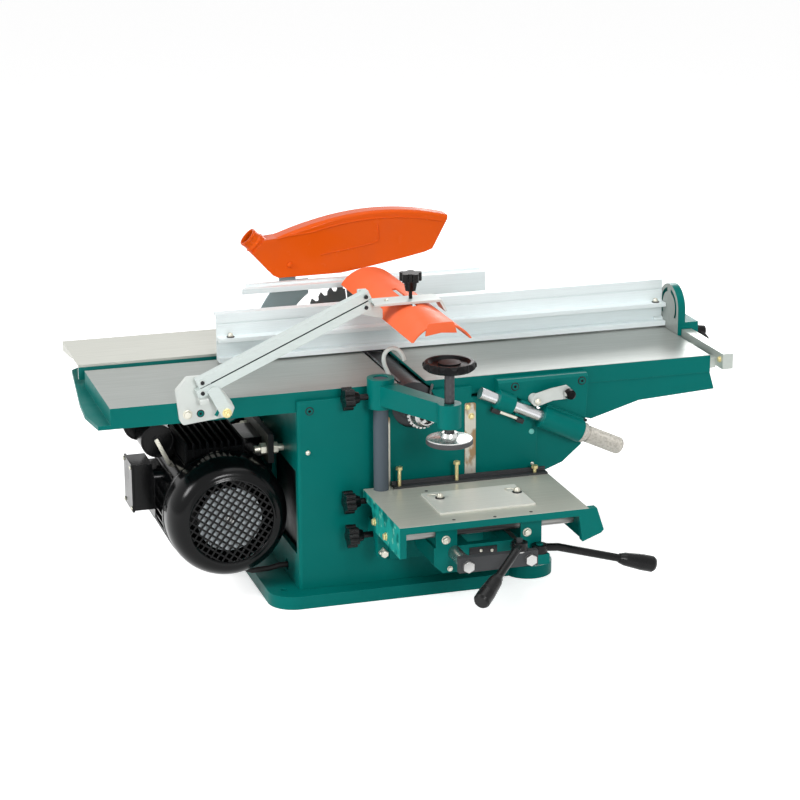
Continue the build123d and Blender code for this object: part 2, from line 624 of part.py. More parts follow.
def scale_bar():
    """Square bar across the end of the infeed bed, on two spacers."""
    bar = block(BAR_X0, BAR_X1, -146.0, 150.0, BAR_Z0, BAR_Z1)
    for y in (-108.0, -20.0):
        bar += block(INFEED_END, BAR_X0, y - 9.0, y + 9.0, 352.0, 370.0)
    return bar


def adjuster_rod():
    return rod(on_screw(0.0), SCREW_DIR, SCREW_R, 206.0)


def adjuster_grip():
    """Knurled hand grip with its collar, on the end of the rod."""
    profile = [(196.5, 17.0), (205.0, 17.0), (205.0, 13.0), (210.0, 14.5), (272.0, 14.5), (277.0, 12.0)]
    return turned(profile, SCREW_TOP, SCREW_DIR) - rod(on_screw(190.0), SCREW_DIR, SCREW_R + 0.02, 16.05)


def lock_lever():
    """Bent lever that locks the infeed slope, with a ball knob."""
    x, z = LOCK_PIN
    strip = [(197.0, 338.0), (200.0, 346.0), (229.0, 353.0), (257.0, 357.0), (263.0, 352.0), (260.0, 334.0),
             (232.0, 333.0), (210.0, 326.5), (199.0, 329.0)]
    lever = rod_y(-160.0, LOCK_FACE - 1.0, x, z, 9.0) + prism_y(strip, -159.0, -154.0)
    lever -= rod_y(-164.0, LOCK_FACE + 1.0, x, z, 4.0 + RUN)
    knob = turned([(-180.0, 5.0), (-177.0, 8.0), (-166.0, 9.0), (-159.0, 6.0)], (258.0, 0, 345.0), (0, 1, 0))
    return [lever, knob]


# Jointer fence


def fence_bracket():
    """Arched protractor bracket on a saddle that runs along the bar."""
    x0, x1 = FENCE_X1 + 0.6, FENCE_X1 + 15.0
    front, rear, crown = 29.0, 112.0, 457.0
    radius = (rear - front) / 2
    middle = (front + rear) / 2
    over = BAR_Z1 + 0.5
    drop = crown - radius - over
    plane = Plane(origin=(x0, middle, crown - radius), x_dir=(0, 1, 0), z_dir=(1, 0, 0))
    arch = Circle(radius) + Pos(0, -drop / 2) * Rectangle(2 * radius, drop)
    slots = (Circle(radius - 7.0) - Circle(radius - 14.0)) & Pos(0, 10.0) * Rectangle(120.0, 50.0)
    slots -= Rectangle(14.0, 120.0)
    body = extrude(plane * (arch - slots), x1 - x0) - block(x0, x1, front, rear, BAR_Z0, over)
    body += block(x0, BAR_X1 + 12.0, front, rear, over, over + 12.0)
    body += block(x0, BAR_X0 - 0.5, front, rear, 372.0, over + 1.0)
    cy, cz = BAR_CLAMP
    body += block(BAR_X1 + 0.5, BAR_X1 + 12.0, front, rear, BAR_Z0 + 2.0, over + 12.0)
    body += rod_x(BAR_X1 + 4.0, BAR_X1 + 20.0, cy, cz, 12.0)
    body -= rod_x(BAR_X1, BAR_X1 + 22.0, cy, cz, KNOB_STEM_R + RUN)
    return body - rod_x(x0, BAR_X0 - 0.5, FENCE_PIVOT[0], FENCE_PIVOT[1], 5.0 + RUN)


def fence():
    """Aluminium fence extrusion with its pivot pin."""
    front, web, back = FENCE_FRONT, FENCE_WEB, FENCE_BACK
    low, top = FENCE_LOW, FENCE_TOP
    points = [(front, low), (back, low), (back, top - 6.0), (back + 15.0, top - 6.0), (back + 15.0, top),
              (web, top), (web, top - 16.0), (web + 1.5, top - 16.0), (web + 1.5, top - 19.0),
              (web, top - 19.0), (web, 420.0), (front, 420.0), (front, 413.0), (web, 413.0), (web, low + 8.0),
              (front, low + 8.0)]
    body = prism_x(points, FENCE_X0, FENCE_X1)
    return body + rod_x(FENCE_X1 - 16.0, FENCE_X1 + 8.0, FENCE_PIVOT[0], FENCE_PIVOT[1], 5.0)


def fence_clamp_lever():
    """Ratchet clamp lever whose stem bears on the bar."""
    y, z = BAR_CLAMP
    x = BAR_X1 + 20.5
    hub = turned([(x, 9.0), (x + 6.0, 10.0), (x + 18.0, 8.0)], (0, y, z), (1, 0, 0))
    stem = rod_x(BAR_X1 + 0.6, x, y, z, KNOB_STEM_R)
    points = [(x + 8.0, y, z), (x + 14.0, y - 18.0, z - 12.0), (x + 14.0, y - 34.0, z - 38.0)]
    return hub + stem + bent_rod(points, 8.0, 5.5)


# Bridge guard


def arm_end(z):
    return ARM_PIVOT[0] + ARM_LENGTH * math.cos(ARM_RISE), z + ARM_LENGTH * math.sin(ARM_RISE)


def guard_arm(z, end_r):
    """One square bar of the parallel linkage, bored at both ends."""
    bar = Pos(ARM_LENGTH / 2, 0) * Rectangle(ARM_LENGTH + 16.0, ARM_HEIGHT)
    body = sketch_y(Rot(0, 0, math.degrees(ARM_RISE)) * bar, ARM_PIVOT[0], z, ARM_Y0, ARM_Y1)
    body -= rod_y(ARM_Y0, ARM_Y1, ARM_PIVOT[0], z, 4.0 + RUN)
    end_x, end_z = arm_end(z)
    return body - rod_y(ARM_Y0, ARM_Y1, end_x, end_z, end_r)


def lower_arm():
    """Lower bar with the tail plate and the bolt that locks its angle."""
    tail = [(-352.0, 397.0), (-344.0, 404.0), (-332.0, 402.0), (-311.5, 365.0), (-313.0, 355.0),
            (-321.0, 350.5), (-330.0, 354.0)]
    body = guard_arm(ARM_PIVOT[1], 3.0 + RUN) + prism_y(tail, ARM_Y0 - 4.0, ARM_Y0)
    return body + rod_y(ARM_Y0 - 6.0, -BED_HALF - 2.0, TAIL_BOLT[0], TAIL_BOLT[1], 4.0)


def upper_arm():
    return guard_arm(ARM_PIVOT[1] + ARM_SPACING, 3.6)


def arm_head():
    """Level head on the arms: a saddle plate over the guard with a flange bent down at its right end."""
    x, low = arm_end(ARM_PIVOT[1])
    _, high = arm_end(ARM_PIVOT[1] + ARM_SPACING)
    back = ARM_Y1 + GAP
    cheek = [(x - 8.0, high + 8.0), (x + 6.0, high + 8.0), (x + 17.0, HEAD_TOP), (-53.0, HEAD_Z - 10.0),
             (-53.0, HEAD_Z - 25.0), (x + 4.0, low - 18.0), (x - 8.0, low - 6.0)]
    body = prism_y(cheek, back, back + 6.0)
    body += block(x + 14.0, 40.0, -146.0, -104.0, HEAD_Z, HEAD_TOP)
    flange = [(36.0, HEAD_TOP), (41.0, HEAD_TOP), (51.0, HEAD_TOP - 20.0), (47.5, HEAD_TOP - 21.0),
              (38.0, HEAD_Z)]
    body += prism_y(flange, -146.0, -110.0)
    body += rod_z(GUARD_CROWN + GAP, HEAD_Z, HEAD_X, HEAD_Y, 12.0)
    for z, r in ((low, 3.0), (high, 2.8)):
        body += rod_y(ARM_Y0 - 2.0, back, x, z, r)
    return body - rod_z(GUARD_CROWN, HEAD_TOP + 1.0, HEAD_X, HEAD_Y, GUARD_STEM_R + RUN)


def bridge_guard():
    """Arched guard sheet with a flat-topped lip across its front end and an adjusting slot."""
    half, thick = 50.0, 3.0
    rise = GUARD_CROWN - GUARD_EDGE
    outer_r = (half ** 2 + rise ** 2) / (2 * rise)
    centre = GUARD_CROWN - outer_r
    arch = Circle(outer_r) - Circle(outer_r - thick)
    arch &= Pos(0, outer_r) * Rectangle(2 * half, 2 * rise)
    body = sketch_y(arch, 0.0, centre, GUARD_Y0, GUARD_Y1)
    lip = prism_y([(-27.0, 494.0), (-24.0, 514.5), (20.0, 514.5), (25.0, 496.0), (-1.0, 498.0)], GUARD_Y0,
                  GUARD_Y0 + thick)
    body += fillet(lip.edges().filter_by(Axis.Y).group_by(Axis.Z)[-1], 6.0)
    slot = GUARD_STEM_R + 1.5
    return body - block(HEAD_X - slot, HEAD_X + slot, -152.0, -28.0, 480.0, 530.0)


def guard_knob():
    """Star knob whose screw clamps the guard under the head plate."""
    low = HEAD_Z - 17.5
    body = star_knob((HEAD_X, HEAD_Y, low), (0, 0, 1), 51.0, radius=19.0, thick=14.0, neck=16.0,
                     stem=GUARD_STEM_R)
    return body + rod_z(low, low + 5.0, HEAD_X, HEAD_Y, 9.0)


# Saw side


def saw_table():
    """Saw table plate with a shallow skirt and the slot for blade and riving knife."""
    x0, x1, y0, y1 = SAW_X0, SAW_X1, SAW_Y0, SAW_Y1
    low = SAW_TOP - SAW_SKIRT
    body = block(x0, x1, y0, y1, low, SAW_TOP)
    for a, b in ((x0 + 6.0, -262.0), (-254.0, 204.0), (212.0, x1 - 6.0)):
        body -= block(a, b, y0 + 6.0, y1 - 6.0, low, SAW_TOP - SAW_SKIN)
    undercut = [(y0 + 6.0, low), (y1, low), (y1, SAW_TOP - 17.0), (216.0, SAW_TOP - 8.0),
                (188.0, SAW_TOP - 3.5), (y0 + 6.0, SAW_TOP - 3.5)]
    body -= prism_x(undercut, x0, x0 + 12.0)
    body -= block(-200.0, 136.0, SAW_Y - 7.0, SAW_Y + 7.0, low, SAW_TOP)
    guide = block(240.0, 258.0, y0 + 5.0, y1 - 5.0, SAW_TOP, SAW_TOP + 12.0)
    return body + guide


def saw_saddles():
    """Two saddles that carry the saw table, each with cheeks around a rear rail."""
    made = []
    for x, low, depth in ((-170.0, 318.0, 142.0), (170.0, 240.0, 164.0)):
        top = SAW_TOP - SAW_SKIN
        post = block(x - 31.0, x + 31.0, REAR_Y + GAP, depth, low, 354.0)
        post += block(x - 31.0, x + 31.0, REAR_Y + GAP, REAR_Y + 14.0, 236.0, low)
        post -= block(x - 20.5, x + 20.5, REAR_Y, REAR_Y + 14.5, 236.0, 380.0)
        shelf = block(x - 31.0, x + 31.0, SAW_Y0 + 6.5, 228.0, 354.0, top)
        rib = prism_x([(depth - 1.0, 330.0), (228.0, 354.0), (depth - 1.0, 354.0)], x + 19.0, x + 31.0)
        made.append(post + shelf + rib)
    return made


def riving_knife():
    """Curved plate behind the blade that also carries the saw guard."""
    ring = Circle(190.0) - Circle(137.0)
    sector = Pos(-140.0, 74.0) * Rectangle(120.0, 128.0)
    finger = Pos(KNIFE_PIVOT[0], 140.0) * Rectangle(30.0, 80.0)
    plate = (ring & sector) + (finger - Circle(137.0))
    body = sketch_y(plate, 0.0, SPINDLE_Z, SAW_Y - 1.2, SAW_Y + 1.2)
    pivot = rod_y(SHIELD_Y0 - 1.0, SHIELD_Y1 + 1.0, KNIFE_PIVOT[0], KNIFE_PIVOT[1], 4.0)
    foot = block(-194.0, -140.0, SAW_Y + 1.2, SAW_Y + 40.0, 364.0, SAW_TOP - SAW_SKIN)
    foot += block(-194.0, -150.0, SAW_Y + 1.2, SAW_Y + 7.0, 346.0, 364.0)
    return body + pivot + foot


def rip_fence():
    """Rip fence: a low beam with a mitred end, a tall face and the carrier on the cross guide."""
    y0, y1, top = 182.0, 224.0, 478.0
    beam = prism_z([(-215.0, y0), (230.0, y0), (230.0, y1), (-197.0, y1)], top - 9.0, top)
    beam -= block(-230.0, 240.0, y0 + 12.0, y1 - 10.0, top - 4.0, top)
    low = SAW_TOP + 2.0
    section = [(y0, low), (y0 + 14.0, low), (y0 + 14.0, low + 6.0), (y0 + 4.0, low + 6.0),
               (y0 + 4.0, top - 34.0), (y0 + 16.0, top - 34.0), (y0 + 16.0, top - 9.0), (y0, top - 9.0)]
    face = prism_x(section, 24.0, 230.0)
    carrier = block(226.0, 268.0, y0, y1 - 4.0, SAW_TOP + GAP, 424.0)
    carrier -= block(239.6, 258.4, y0, y1, SAW_TOP, SAW_TOP + 12.5)
    return [beam + face + carrier]


def saw_guard():
    """Hollow blade guard, open below, with a round dust spigot at its left end."""
    with BuildLine() as line:
        Polyline((-163.0, 552.0), (-184.0, 528.0), (-148.0, 488.0), (-138.0, 483.0), (-25.0, 484.0))
        ThreePointArc((-25.0, 484.0), (55.0, 496.5), (131.0, 511.0))
        Polyline((131.0, 511.0), (145.0, 516.0), (173.0, 568.0), (174.0, 575.0))
        crown = ThreePointArc((174.0, 575.0), (67.0, 591.0), (-40.0, 582.5))
        TangentArc((-40.0, 582.5), (-140.0, 554.0), tangent=crown % 1)
        Line((-140.0, 554.0), (-163.0, 552.0))
    outline = make_face(line.edges())
    wall = 2.5
    y0, y1 = SHIELD_Y0 + wall, SHIELD_Y1 - wall
    shell = sketch_y(outline, 0, 0, SHIELD_Y0, SHIELD_Y1)
    ridge = [edge for edge in shell.edges().filter_by(GeomType.CIRCLE) if edge.center().Z > PORT[1]]
    shell = fillet(ridge, 6.0)
    shell -= sketch_y(offset(outline, -wall), 0, 0, y0, y1)
    below = [(-154.0, 494.0), (-148.0, 470.0), (124.0, 470.0), (136.0, 522.0), (56.0, 508.0), (-25.0, 494.0)]
    shell -= prism_y(below, y0, y1)
    shell -= rod_y(SHIELD_Y0 - 1.0, SHIELD_Y1 + 1.0, KNIFE_PIVOT[0], KNIFE_PIVOT[1], 4.0 + RUN)
    axis = Vector(-math.cos(PORT_RISE), 0, math.sin(PORT_RISE))
    mouth = Vector(PORT[0], SAW_Y, PORT[1])
    collar = PORT_R + 1.5
    spigot = turned([(-40.0, collar), (-16.0, collar), (-13.0, PORT_R), (0.0, PORT_R)], mouth, axis)
    return shell + spigot - rod(mouth - axis * 44.0, axis, PORT_R - wall, 50.0)


# Mortising unit


def lift_carriage():
    """Vertical slide of the mortising unit with the bosses of the guide bars."""
    back = FRONT_Y - GAP
    body = block(-47.6, 87.6, -139.0, back, 76.0, 160.0)
    body += block(-85.0, 150.0, -195.0, -139.0, 128.0, 156.0)
    for x in BAR_X:
        body += rod_y(-200.0, -139.0, x, BAR_Z, 20.0)
        body += prism_x([(-139.0, 90.0), (-139.0, 128.0), (-190.0, 128.0)], x - 6.0, x + 6.0)
        body -= rod_y(-201.0, -141.0, x, BAR_Z, BAR_R + 0.02)
    return body - rod_x(-86.0, -55.0, -165.0, 134.0, KNOB_STEM_R + RUN)


def guide_bars():
    """Two round bars tied by a flat bar at the front."""
    bars = [rod_y(BAR_FRONT, -141.0, x, BAR_Z, BAR_R) for x in BAR_X]
    tie = block(-4.0, 128.0, BAR_FRONT - 12.0, BAR_FRONT, 130.0, 155.0)
    for x in BAR_X:
        tie += hex_head((x, BAR_FRONT - 12.0, BAR_Z - 1.0), (0, -1, 0), 17.0, 7.0)
    tie += rod_z(155.0, 176.0, 98.0, -371.0, 5.0) + rod_z(154.0, 157.0, 98.0, -371.0, 9.0)
    return bars + [tie]


def cross_carriage():
    """Carriage on the guide bars that also guides the table rods."""
    y0, y1 = -310.0, -208.0
    body = block(-25.0, 158.0, y0, y1, 122.0, 152.0)
    for x0, x1 in ((-22.0, 14.0), (122.0, 158.0)):
        body += block(x0, x1, y0, y1, 150.0, 190.0)
    body += prism_y([(-25.0, 122.0), (150.0, 122.0), (140.0, 108.0), (-10.0, 108.0)], y0, y0 + 14.0)
    body += block(137.0, 163.0, y0 - 26.0, y0, 114.0, 130.6)
    body -= block(36.0, 89.0, y0 + 14.0, y1 - 14.0, 122.0, 152.0)
    for x in BAR_X:
        body -= rod_y(y0 - 1.0, y1 + 1.0, x, BAR_Z, BAR_R + RUN)
    for y in ROD_Y:
        body -= rod_x(-30.0, 170.0, y, ROD_Z, ROD_R + RUN)
    return body + rod_z(130.0, 146.0, 150.0, y0 - 13.0, 6.0)


def mortise_table():
    """Work table with end skirts, a flared right foot and the column socket."""
    x0, x1, y0, y1 = TABLE_X0, TABLE_X1, TABLE_Y0, TABLE_Y1
    body = block(x0, x1, y0, y1, TABLE_TOP - 12.0, TABLE_TOP)
    skirt = [(y0, TABLE_TOP), (y0, 153.0), (-205.0, 153.0), (-188.0, 188.0), (y1, 188.0), (y1, TABLE_TOP)]
    for a, b in ((x0, x0 + SKIRT), (x1 - SKIRT, x1)):
        body += prism_x(skirt, a, b)
    foot = [(x1 - 17.0, TABLE_TOP - 11.0), (x1 - 10.0, 149.0), (x1 + 22.0, 161.0), (x1 + 26.5, 166.0),
            (x1 + 14.0, TABLE_TOP - 1.0), (x1 - 4.0, TABLE_TOP - 1.0)]
    body += prism_y(foot, y0, y0 + 14.0)
    cx, cy = COLUMN
    body += rod_z(165.0, TABLE_TOP - 12.0, cx, cy, 16.0)
    body -= rod_z(160.0, TABLE_TOP, cx, cy, COLUMN_R + 0.02)
    return body - rod_x(cx - 30.0, cx, cy, COLUMN_KNOB_Z, KNOB_STEM_R + RUN)


def table_rods():
    return [rod_x(TABLE_X0 + SKIRT, TABLE_X1 - SKIRT, y, ROD_Z, ROD_R) for y in ROD_Y]


def table_fittings():
    """Loose work plate and the black stop angle along the rear of the table."""
    plate = block(-12.0, 150.0, -303.0, -200.0, TABLE_TOP, TABLE_TOP + 3.0)
    leg = [(-158.0, TABLE_TOP), (-141.0, TABLE_TOP), (-141.0, 214.0), (-144.0, 214.0), (-144.0, 208.0),
           (-158.0, 208.0)]
    angle = prism_x(leg, -45.0, TABLE_X1 - 1.0)
    made = [plate, angle]
    for x, top in ((-34.0, 236.0), (66.0, 236.0), (204.0, 215.0)):
        made.append(rod_z(208.0, top, x, -151.0, 3.0) + hex_head((x, -151.0, top), (0, 0, 1), 10.0, 5.0))
    return made


def hold_column():
    return rod_z(168.0, 395.0, COLUMN[0], COLUMN[1], COLUMN_R)


def hold_arm():
    """Cast arm from the column boss to the clamp-screw boss."""
    (cx, cy), (sx, sy) = COLUMN, CLAMP
    web = make_hull([*(Pos(cx, cy) * Circle(16.0)).edges(), *(Pos(sx, sy) * Circle(12.0)).edges()])
    body = sketch_z(web, 355.0, 388.0)
    body += rod_z(347.0, 397.0, cx, cy, 22.5) + rod_z(350.0, 389.0, sx, sy, 19.0)
    body -= rod_z(340.0, 400.0, cx, cy, COLUMN_R + RUN) + rod_z(340.0, 400.0, sx, sy, CLAMP_R + RUN)
    return body - rod_x(cx - 30.0, cx, cy, 366.0, KNOB_STEM_R + RUN)


def hold_screw():
    """Clamp screw with its dished, scalloped handwheel."""
    x, y = CLAMP
    screw = rod_z(330.4, 444.0, x, y, CLAMP_R)
    outline = Circle(43.0)
    for _, (lx, ly) in polar(13, 47.5):
        outline -= Pos(lx, ly) * Circle(8.5)
    wheel = Pos(x, y, 444.0) * extrude(outline, 14.0)
    wheel &= turned([(444.0, 37.0), (449.0, 43.0), (454.0, 43.0), (458.0, 38.5)], (x, y, 0), (0, 0, 1))
    wheel -= turned([(453.0, 29.0), (458.0, 34.0)], (x, y, 0), (0, 0, 1)) - rod_z(453.0, 456.5, x, y, 18.0)
    wheel += turned([(436.0, 10.5), (444.0, 16.0), (446.0, 16.0)], (x, y, 0), (0, 0, 1))
    wheel -= rod_z(430.0, 444.0, x, y, CLAMP_R + 0.02)
    return [screw, wheel]


def hold_pad():
    """Swivel pressure pad with a socket for the screw end."""
    x, y = CLAMP
    profile = [(322.0, 35.5), (323.5, 37.5), (330.0, 37.5), (332.0, 36.0), (334.5, 15.0), (341.0, 12.5)]
    return turned(profile, (x, y, 0), (0, 0, 1)) - rod_z(330.0, 345.0, x, y, CLAMP_R + RUN)


def hand_lever(hub, pin_r, points, bend):
    """Bent lever with a hub on a vertical pin and a tapered hand grip."""
    x, y, z = hub
    body = rod_z(z, z + 13.0, x, y, 13.0) + bent_rod(points, bend, 6.5)
    body -= rod_z(z - 1.0, z + 20.0, x, y, pin_r + RUN)
    tip, before = Vector(points[-1]), Vector(points[-2])
    along = (tip - before).normalized()
    grip = turned([(0.0, 8.0), (10.0, 11.0), (40.0, 13.5), (60.0, 13.5), (64.0, 11.0)], tip, along)
    return [body, grip]


def depth_lever():
    points = [(97.0, -374.0, 164.0), (82.0, -397.0, 164.0), (38.0, -440.0, 142.0)]
    return hand_lever((98.0, -371.0, 157.4), 5.0, points, 8.0)


def traverse_lever():
    points = [(160.0, -323.0, 138.2), (182.0, -323.0, 136.0), (288.0, -326.0, 106.0)]
    return hand_lever((150.0, -323.0, 131.0), 6.0, points, 14.0)


def column_knob():
    return star_knob((COLUMN[0] - COLUMN_R - 0.8, COLUMN[1], COLUMN_KNOB_Z), (-1, 0, 0), 34.0)


def arm_knob():
    return star_knob((COLUMN[0] - COLUMN_R - 0.8, COLUMN[1], 366.0), (-1, 0, 0), 34.0)


def lift_knob():
    return star_knob((-58.0, -165.0, 134.0), (-1, 0, 0), 54.0)


PARTS = [base, front_plate, rear_plate, side_plates, ways_casting, outfeed_table, bearing_housings,
         slot_hook, adjuster_nut, motor_plate, motor_housing, fan_cover, motor_electrics, drive_belts,
         belt_guard, motor_lead, bridge_bracket, gib_straps, spindle_shaft, cutter_block, planer_knives,
         spindle_pulley, saw_blade, drill_chuck, rotor_shaft, cooling_fan, infeed_table, adjuster_bracket,
         scale_bar, adjuster_rod, adjuster_grip, lock_lever, fence_bracket, fence, fence_clamp_lever,
         lower_arm, upper_arm, arm_head, bridge_guard, guard_knob, saw_table, saw_saddles, riving_knife,
         rip_fence, saw_guard, lift_carriage, guide_bars, cross_carriage, mortise_table, table_rods,
         table_fittings, hold_column, hold_arm, hold_screw, hold_pad, depth_lever, traverse_lever,
         column_knob, arm_knob, lift_knob]

os.makedirs("parts", exist_ok=True)
for make in PARTS:
    made = make()
    solids = made if isinstance(made, list) else [made]
    placed = [Pos(0, 0, -FLOOR) * solid for piece in solids for solid in piece.solids()]
    export_step(Compound(children=placed), f"parts/{make.__name__}.step")
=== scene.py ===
import math

import bpy
from mathutils import Euler, Matrix, Vector


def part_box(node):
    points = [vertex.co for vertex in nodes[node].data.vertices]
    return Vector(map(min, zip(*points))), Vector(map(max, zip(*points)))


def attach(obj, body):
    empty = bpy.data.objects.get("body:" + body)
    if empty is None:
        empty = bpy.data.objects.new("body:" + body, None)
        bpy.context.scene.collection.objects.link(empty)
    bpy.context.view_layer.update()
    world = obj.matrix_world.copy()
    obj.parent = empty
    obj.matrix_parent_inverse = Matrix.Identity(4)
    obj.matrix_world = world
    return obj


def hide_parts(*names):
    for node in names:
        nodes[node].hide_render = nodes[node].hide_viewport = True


# A bench combination woodworking machine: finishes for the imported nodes, and the small fasteners and trim
# that sit on them. Metres. X runs along the beds, Y to the rear, Z up from the underside of the base.
# Named sizes and places are in the drawing's millimetres, in which that underside stands at DATUM.

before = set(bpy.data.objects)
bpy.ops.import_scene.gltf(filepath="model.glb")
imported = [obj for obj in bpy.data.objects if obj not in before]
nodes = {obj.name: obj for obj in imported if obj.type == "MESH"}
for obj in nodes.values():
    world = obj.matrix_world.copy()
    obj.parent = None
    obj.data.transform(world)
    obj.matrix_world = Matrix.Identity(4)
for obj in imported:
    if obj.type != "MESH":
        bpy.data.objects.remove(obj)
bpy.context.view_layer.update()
MM = 0.001
DATUM = 12.0

FRONT, REAR = Vector((0.0, -1.0, 0.0)), Vector((0.0, 1.0, 0.0))
LEFT, RIGHT = Vector((-1.0, 0.0, 0.0)), Vector((1.0, 0.0, 0.0))
UP = Vector((0.0, 0.0, 1.0))


def above_base(z):
    """A drawing height, in metres above the underside of the base."""
    return (z - DATUM) * MM


def point(x, y, z):
    """A place on the machine from its drawing sizes."""
    return Vector((x * MM, y * MM, above_base(z)))


def leaning(slope):
    """The way to the right and down at that slope, and the way square to it and up."""
    return Vector((math.cos(slope), 0.0, -math.sin(slope))), Vector((math.sin(slope), 0.0, math.cos(slope)))


# Where one node changes finish
GUIDE_BAR_HEIGHT, SAW_PLATE_EDGE, SAW_SKIRT_DEPTH = 12.0, 4.5, 3.0
BED_SKIN, FACE_SKIN = 0.6, 0.5
BED_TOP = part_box("outfeed_table")[1].z
TABLE_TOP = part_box("mortise_table")[1].z
TABLE_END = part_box("mortise_table")[0].x
BRACKET_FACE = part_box("fence_bracket")[0].x
SAW_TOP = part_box("saw_table")[1].z - GUIDE_BAR_HEIGHT * MM
SAW_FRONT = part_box("saw_table")[0].y
DARK_LEFT, DARK_RIGHT, DARK_FADE = -30.0, 128.0, 16.0
WHEEL_UNDERSIDE, PAD_RIM_TOP = 435.8, 330.6
TIE_FRONT, TIE_BACK = -376.2, -363.8
STOP_FRONT = -199.5
STOP_BOLTS_FRONT, STOP_BOLTS_BACK, STOP_BOLTS_LOW = -157.5, -144.5, 208.3
KNOB_LEFT, KNOB_BACK = 250.0, -159.3
MOTOR_PLATE_LEFT, MOTOR_PLATE_RIGHT = -230.1, -219.9

# Motor, its fan cover and fins, and a black sheet standing for the shade in the window beside the motor
MOTOR_X, MOTOR_Z = -309.0, 160.0
GRILLE_R, GRILLE_PITCH, GRILLE_BAR, GRILLE_THICK, GRILLE_DEPTH = 70.0, 10.3, 2.9, 2.4, 5.0
GRILLE_TURN = math.radians(36.0)
COVER_RIM_R, COVER_R, COVER_LENGTH, COVER_WALL = 76.0, 102.0, 70.0, 2.2
SHOULDER, SHOULDER_START, SHOULDER_STEPS = 42.0, 1.4, 12
COVER_SIDES = 96
BARREL_R, FIN_CROWN, FIN_LENGTH, FIN_THICK, FIN_MIDDLE_Y = 97.0, 277.0, 140.0, 2.8, 36.0
FIN_COUNT, FIN_FIRST_X, FIN_STEP = 9, -366.0, 12.0
FIN_END_THICK, FIN_END_BACK, FIN_END_RISE = 4.0, 3.0, 1.0
BANK_WIDTH, BANK_MIDDLE_X, BANK_LOW, BANK_CROWN = 102.0, -318.0, 222.0, 266.0
# Painted shade: a black sheet in the window beside the motor.
SHADE_SHEET_SIZE, SHADE_SHEET_PLACE = (170.0, 168.0, 2.0), (-190.0, -27.0, 164.0)
STRAP_SIZE, STRAP_PLACE = (52.0, 7.0, 1.6), (-393.0, 30.0, 247.0)
STRAP_WAY = Vector((22.0, 0.0, -46.0)).normalized()

# Bridge guard: arms, head and bracket
ARM_PIVOT_X, LOWER_PIVOT_Z, UPPER_PIVOT_Z, ARM_HEIGHT = -359.5, 394.8, 412.2, 14.5
ARM_RISE = math.radians(23.7)
HEAD_PIVOT_X, HEAD_LOWER_Z, HEAD_UPPER_Z = -86.6, 514.6, 532.0
TAIL_STUD_SINK = 2.0
LUG_SIZE, LUG_X, LUG_Z, LUG_TURN = (15.0, 8.0, 3.5), -357.5, 381.5, math.radians(-8.0)
SLOT_SIZE, SLOT_X, SLOT_Z, SLOT_TURN = (11.0, 5.6, 0.5), -336.5, 360.5, math.radians(-60.0)

# Blade cover: dust port and moulded beads. A port ring is a distance behind the mouth and a radius
PORT_X, PORT_Z = -189.0, 557.0
PORT_BACK, PORT_UP = leaning(math.radians(42.0))
PORT_RINGS, RING_STEPS = ((3.0, 17.0), (17.5, 18.5), (28.0, 18.5)), 32
BEAD_START, BEAD_STEP, BEAD_COUNT = -138.0, 12.0, 26
BEAD_FIRST_DROP, BEAD_MORE_DROP, BEAD_DROP_FROM, BEAD_DROP_TO = 2.0, 11.5, -140.0, -70.0
CROWN_BEAD_R, FINE_BEAD_R = 1.3, 0.9
PANEL_LINE = [(-61.0, 519.0), (34.0, 533.0), (42.0, 536.0), (45.7, 541.3), (46.0, 547.0), (43.0, 567.0)]

# Infeed screw with its grip, the strip under its bearing and the marks on the bed's end bar
SCREW_TOP = (107.0, -150.0, 355.0)
SCREW_WAY, SCREW_UP = leaning(math.radians(25.0))
GRIP_START, GRIP_LENGTH, GRIP_R = 210.0, 62.0, 14.5
KNURL_SIDES, KNURL_RINGS, KNURL_SINK = 72, 36, 0.955
STRIP_SIZE, STRIP_MIDDLE, STRIP_DROP = (40.0, 8.0, 5.0), 60.0, 15.0
KEEPER_SIZES, KEEPER_MIDDLES = ((15.0, 11.0, 8.0), (13.0, 11.0, 8.0)), (38.0, 85.0)
BARREL_SCREW_ALONG, BARREL_SCREW_UP, BARREL_SCREW_BACK = 193.0, 20.2, 5.0
MARK_SIZE, MARK_FIRST, MARK_COUNT, MARK_STEP = (7.0, 0.8, 0.2), (559.0, -140.0, 383.0), 29, 5.0

# Cutter slot's hook and stop pin
HOOK_BENDS = [(-37.0, 386.0), (-53.0, 408.0), (-51.0, 438.0), (-23.0, 439.0), (-15.0, 414.0)]
HOOK_R = 3.6
PIN_PLACE, PIN_WAY = (26.0, -122.0, 343.0), Vector((7.0, 0.0, 26.0))

# Mortising table: plate nuts with their wire clips, rack cover and stop
PLATE_NUTS = ((10.6, -231.2), (140.2, -241.0))
CLIP_BENDS = [(-3.0, 4.0, 211.5), (-8.0, 9.0, 212.5), (-13.0, 13.0, 211.0), (-15.0, 18.0, 209.0),
              (-11.0, 20.0, 208.8)]
CLIP_R = 0.9
RACK_COVER_SIZE, RACK_COVER_PLACE = (47.0, 13.0, 1.6), (58.0, -310.0, 140.0)
STOP_LUG_SIZE, STOP_LUG_PLACE = (17.0, 20.0, 26.0), (-76.0, -184.0, 103.0)
STOP_BOLT_PLACE = (-76.0, -194.0, 111.5)


def tone(red, green, blue):
    """A display colour, 0 to 255, as linear light."""
    channels = []
    for value in (red, green, blue):
        share = value / 255.0
        channels.append(share / 12.92 if share <= 0.04045 else ((share + 0.055) / 1.055) ** 2.4)
    return tuple(channels)


def shaded(colour, share, lift=0.0):
    """A colour made darker or lighter, at most white."""
    return tuple(min(1.0, share * channel + lift) for channel in colour)


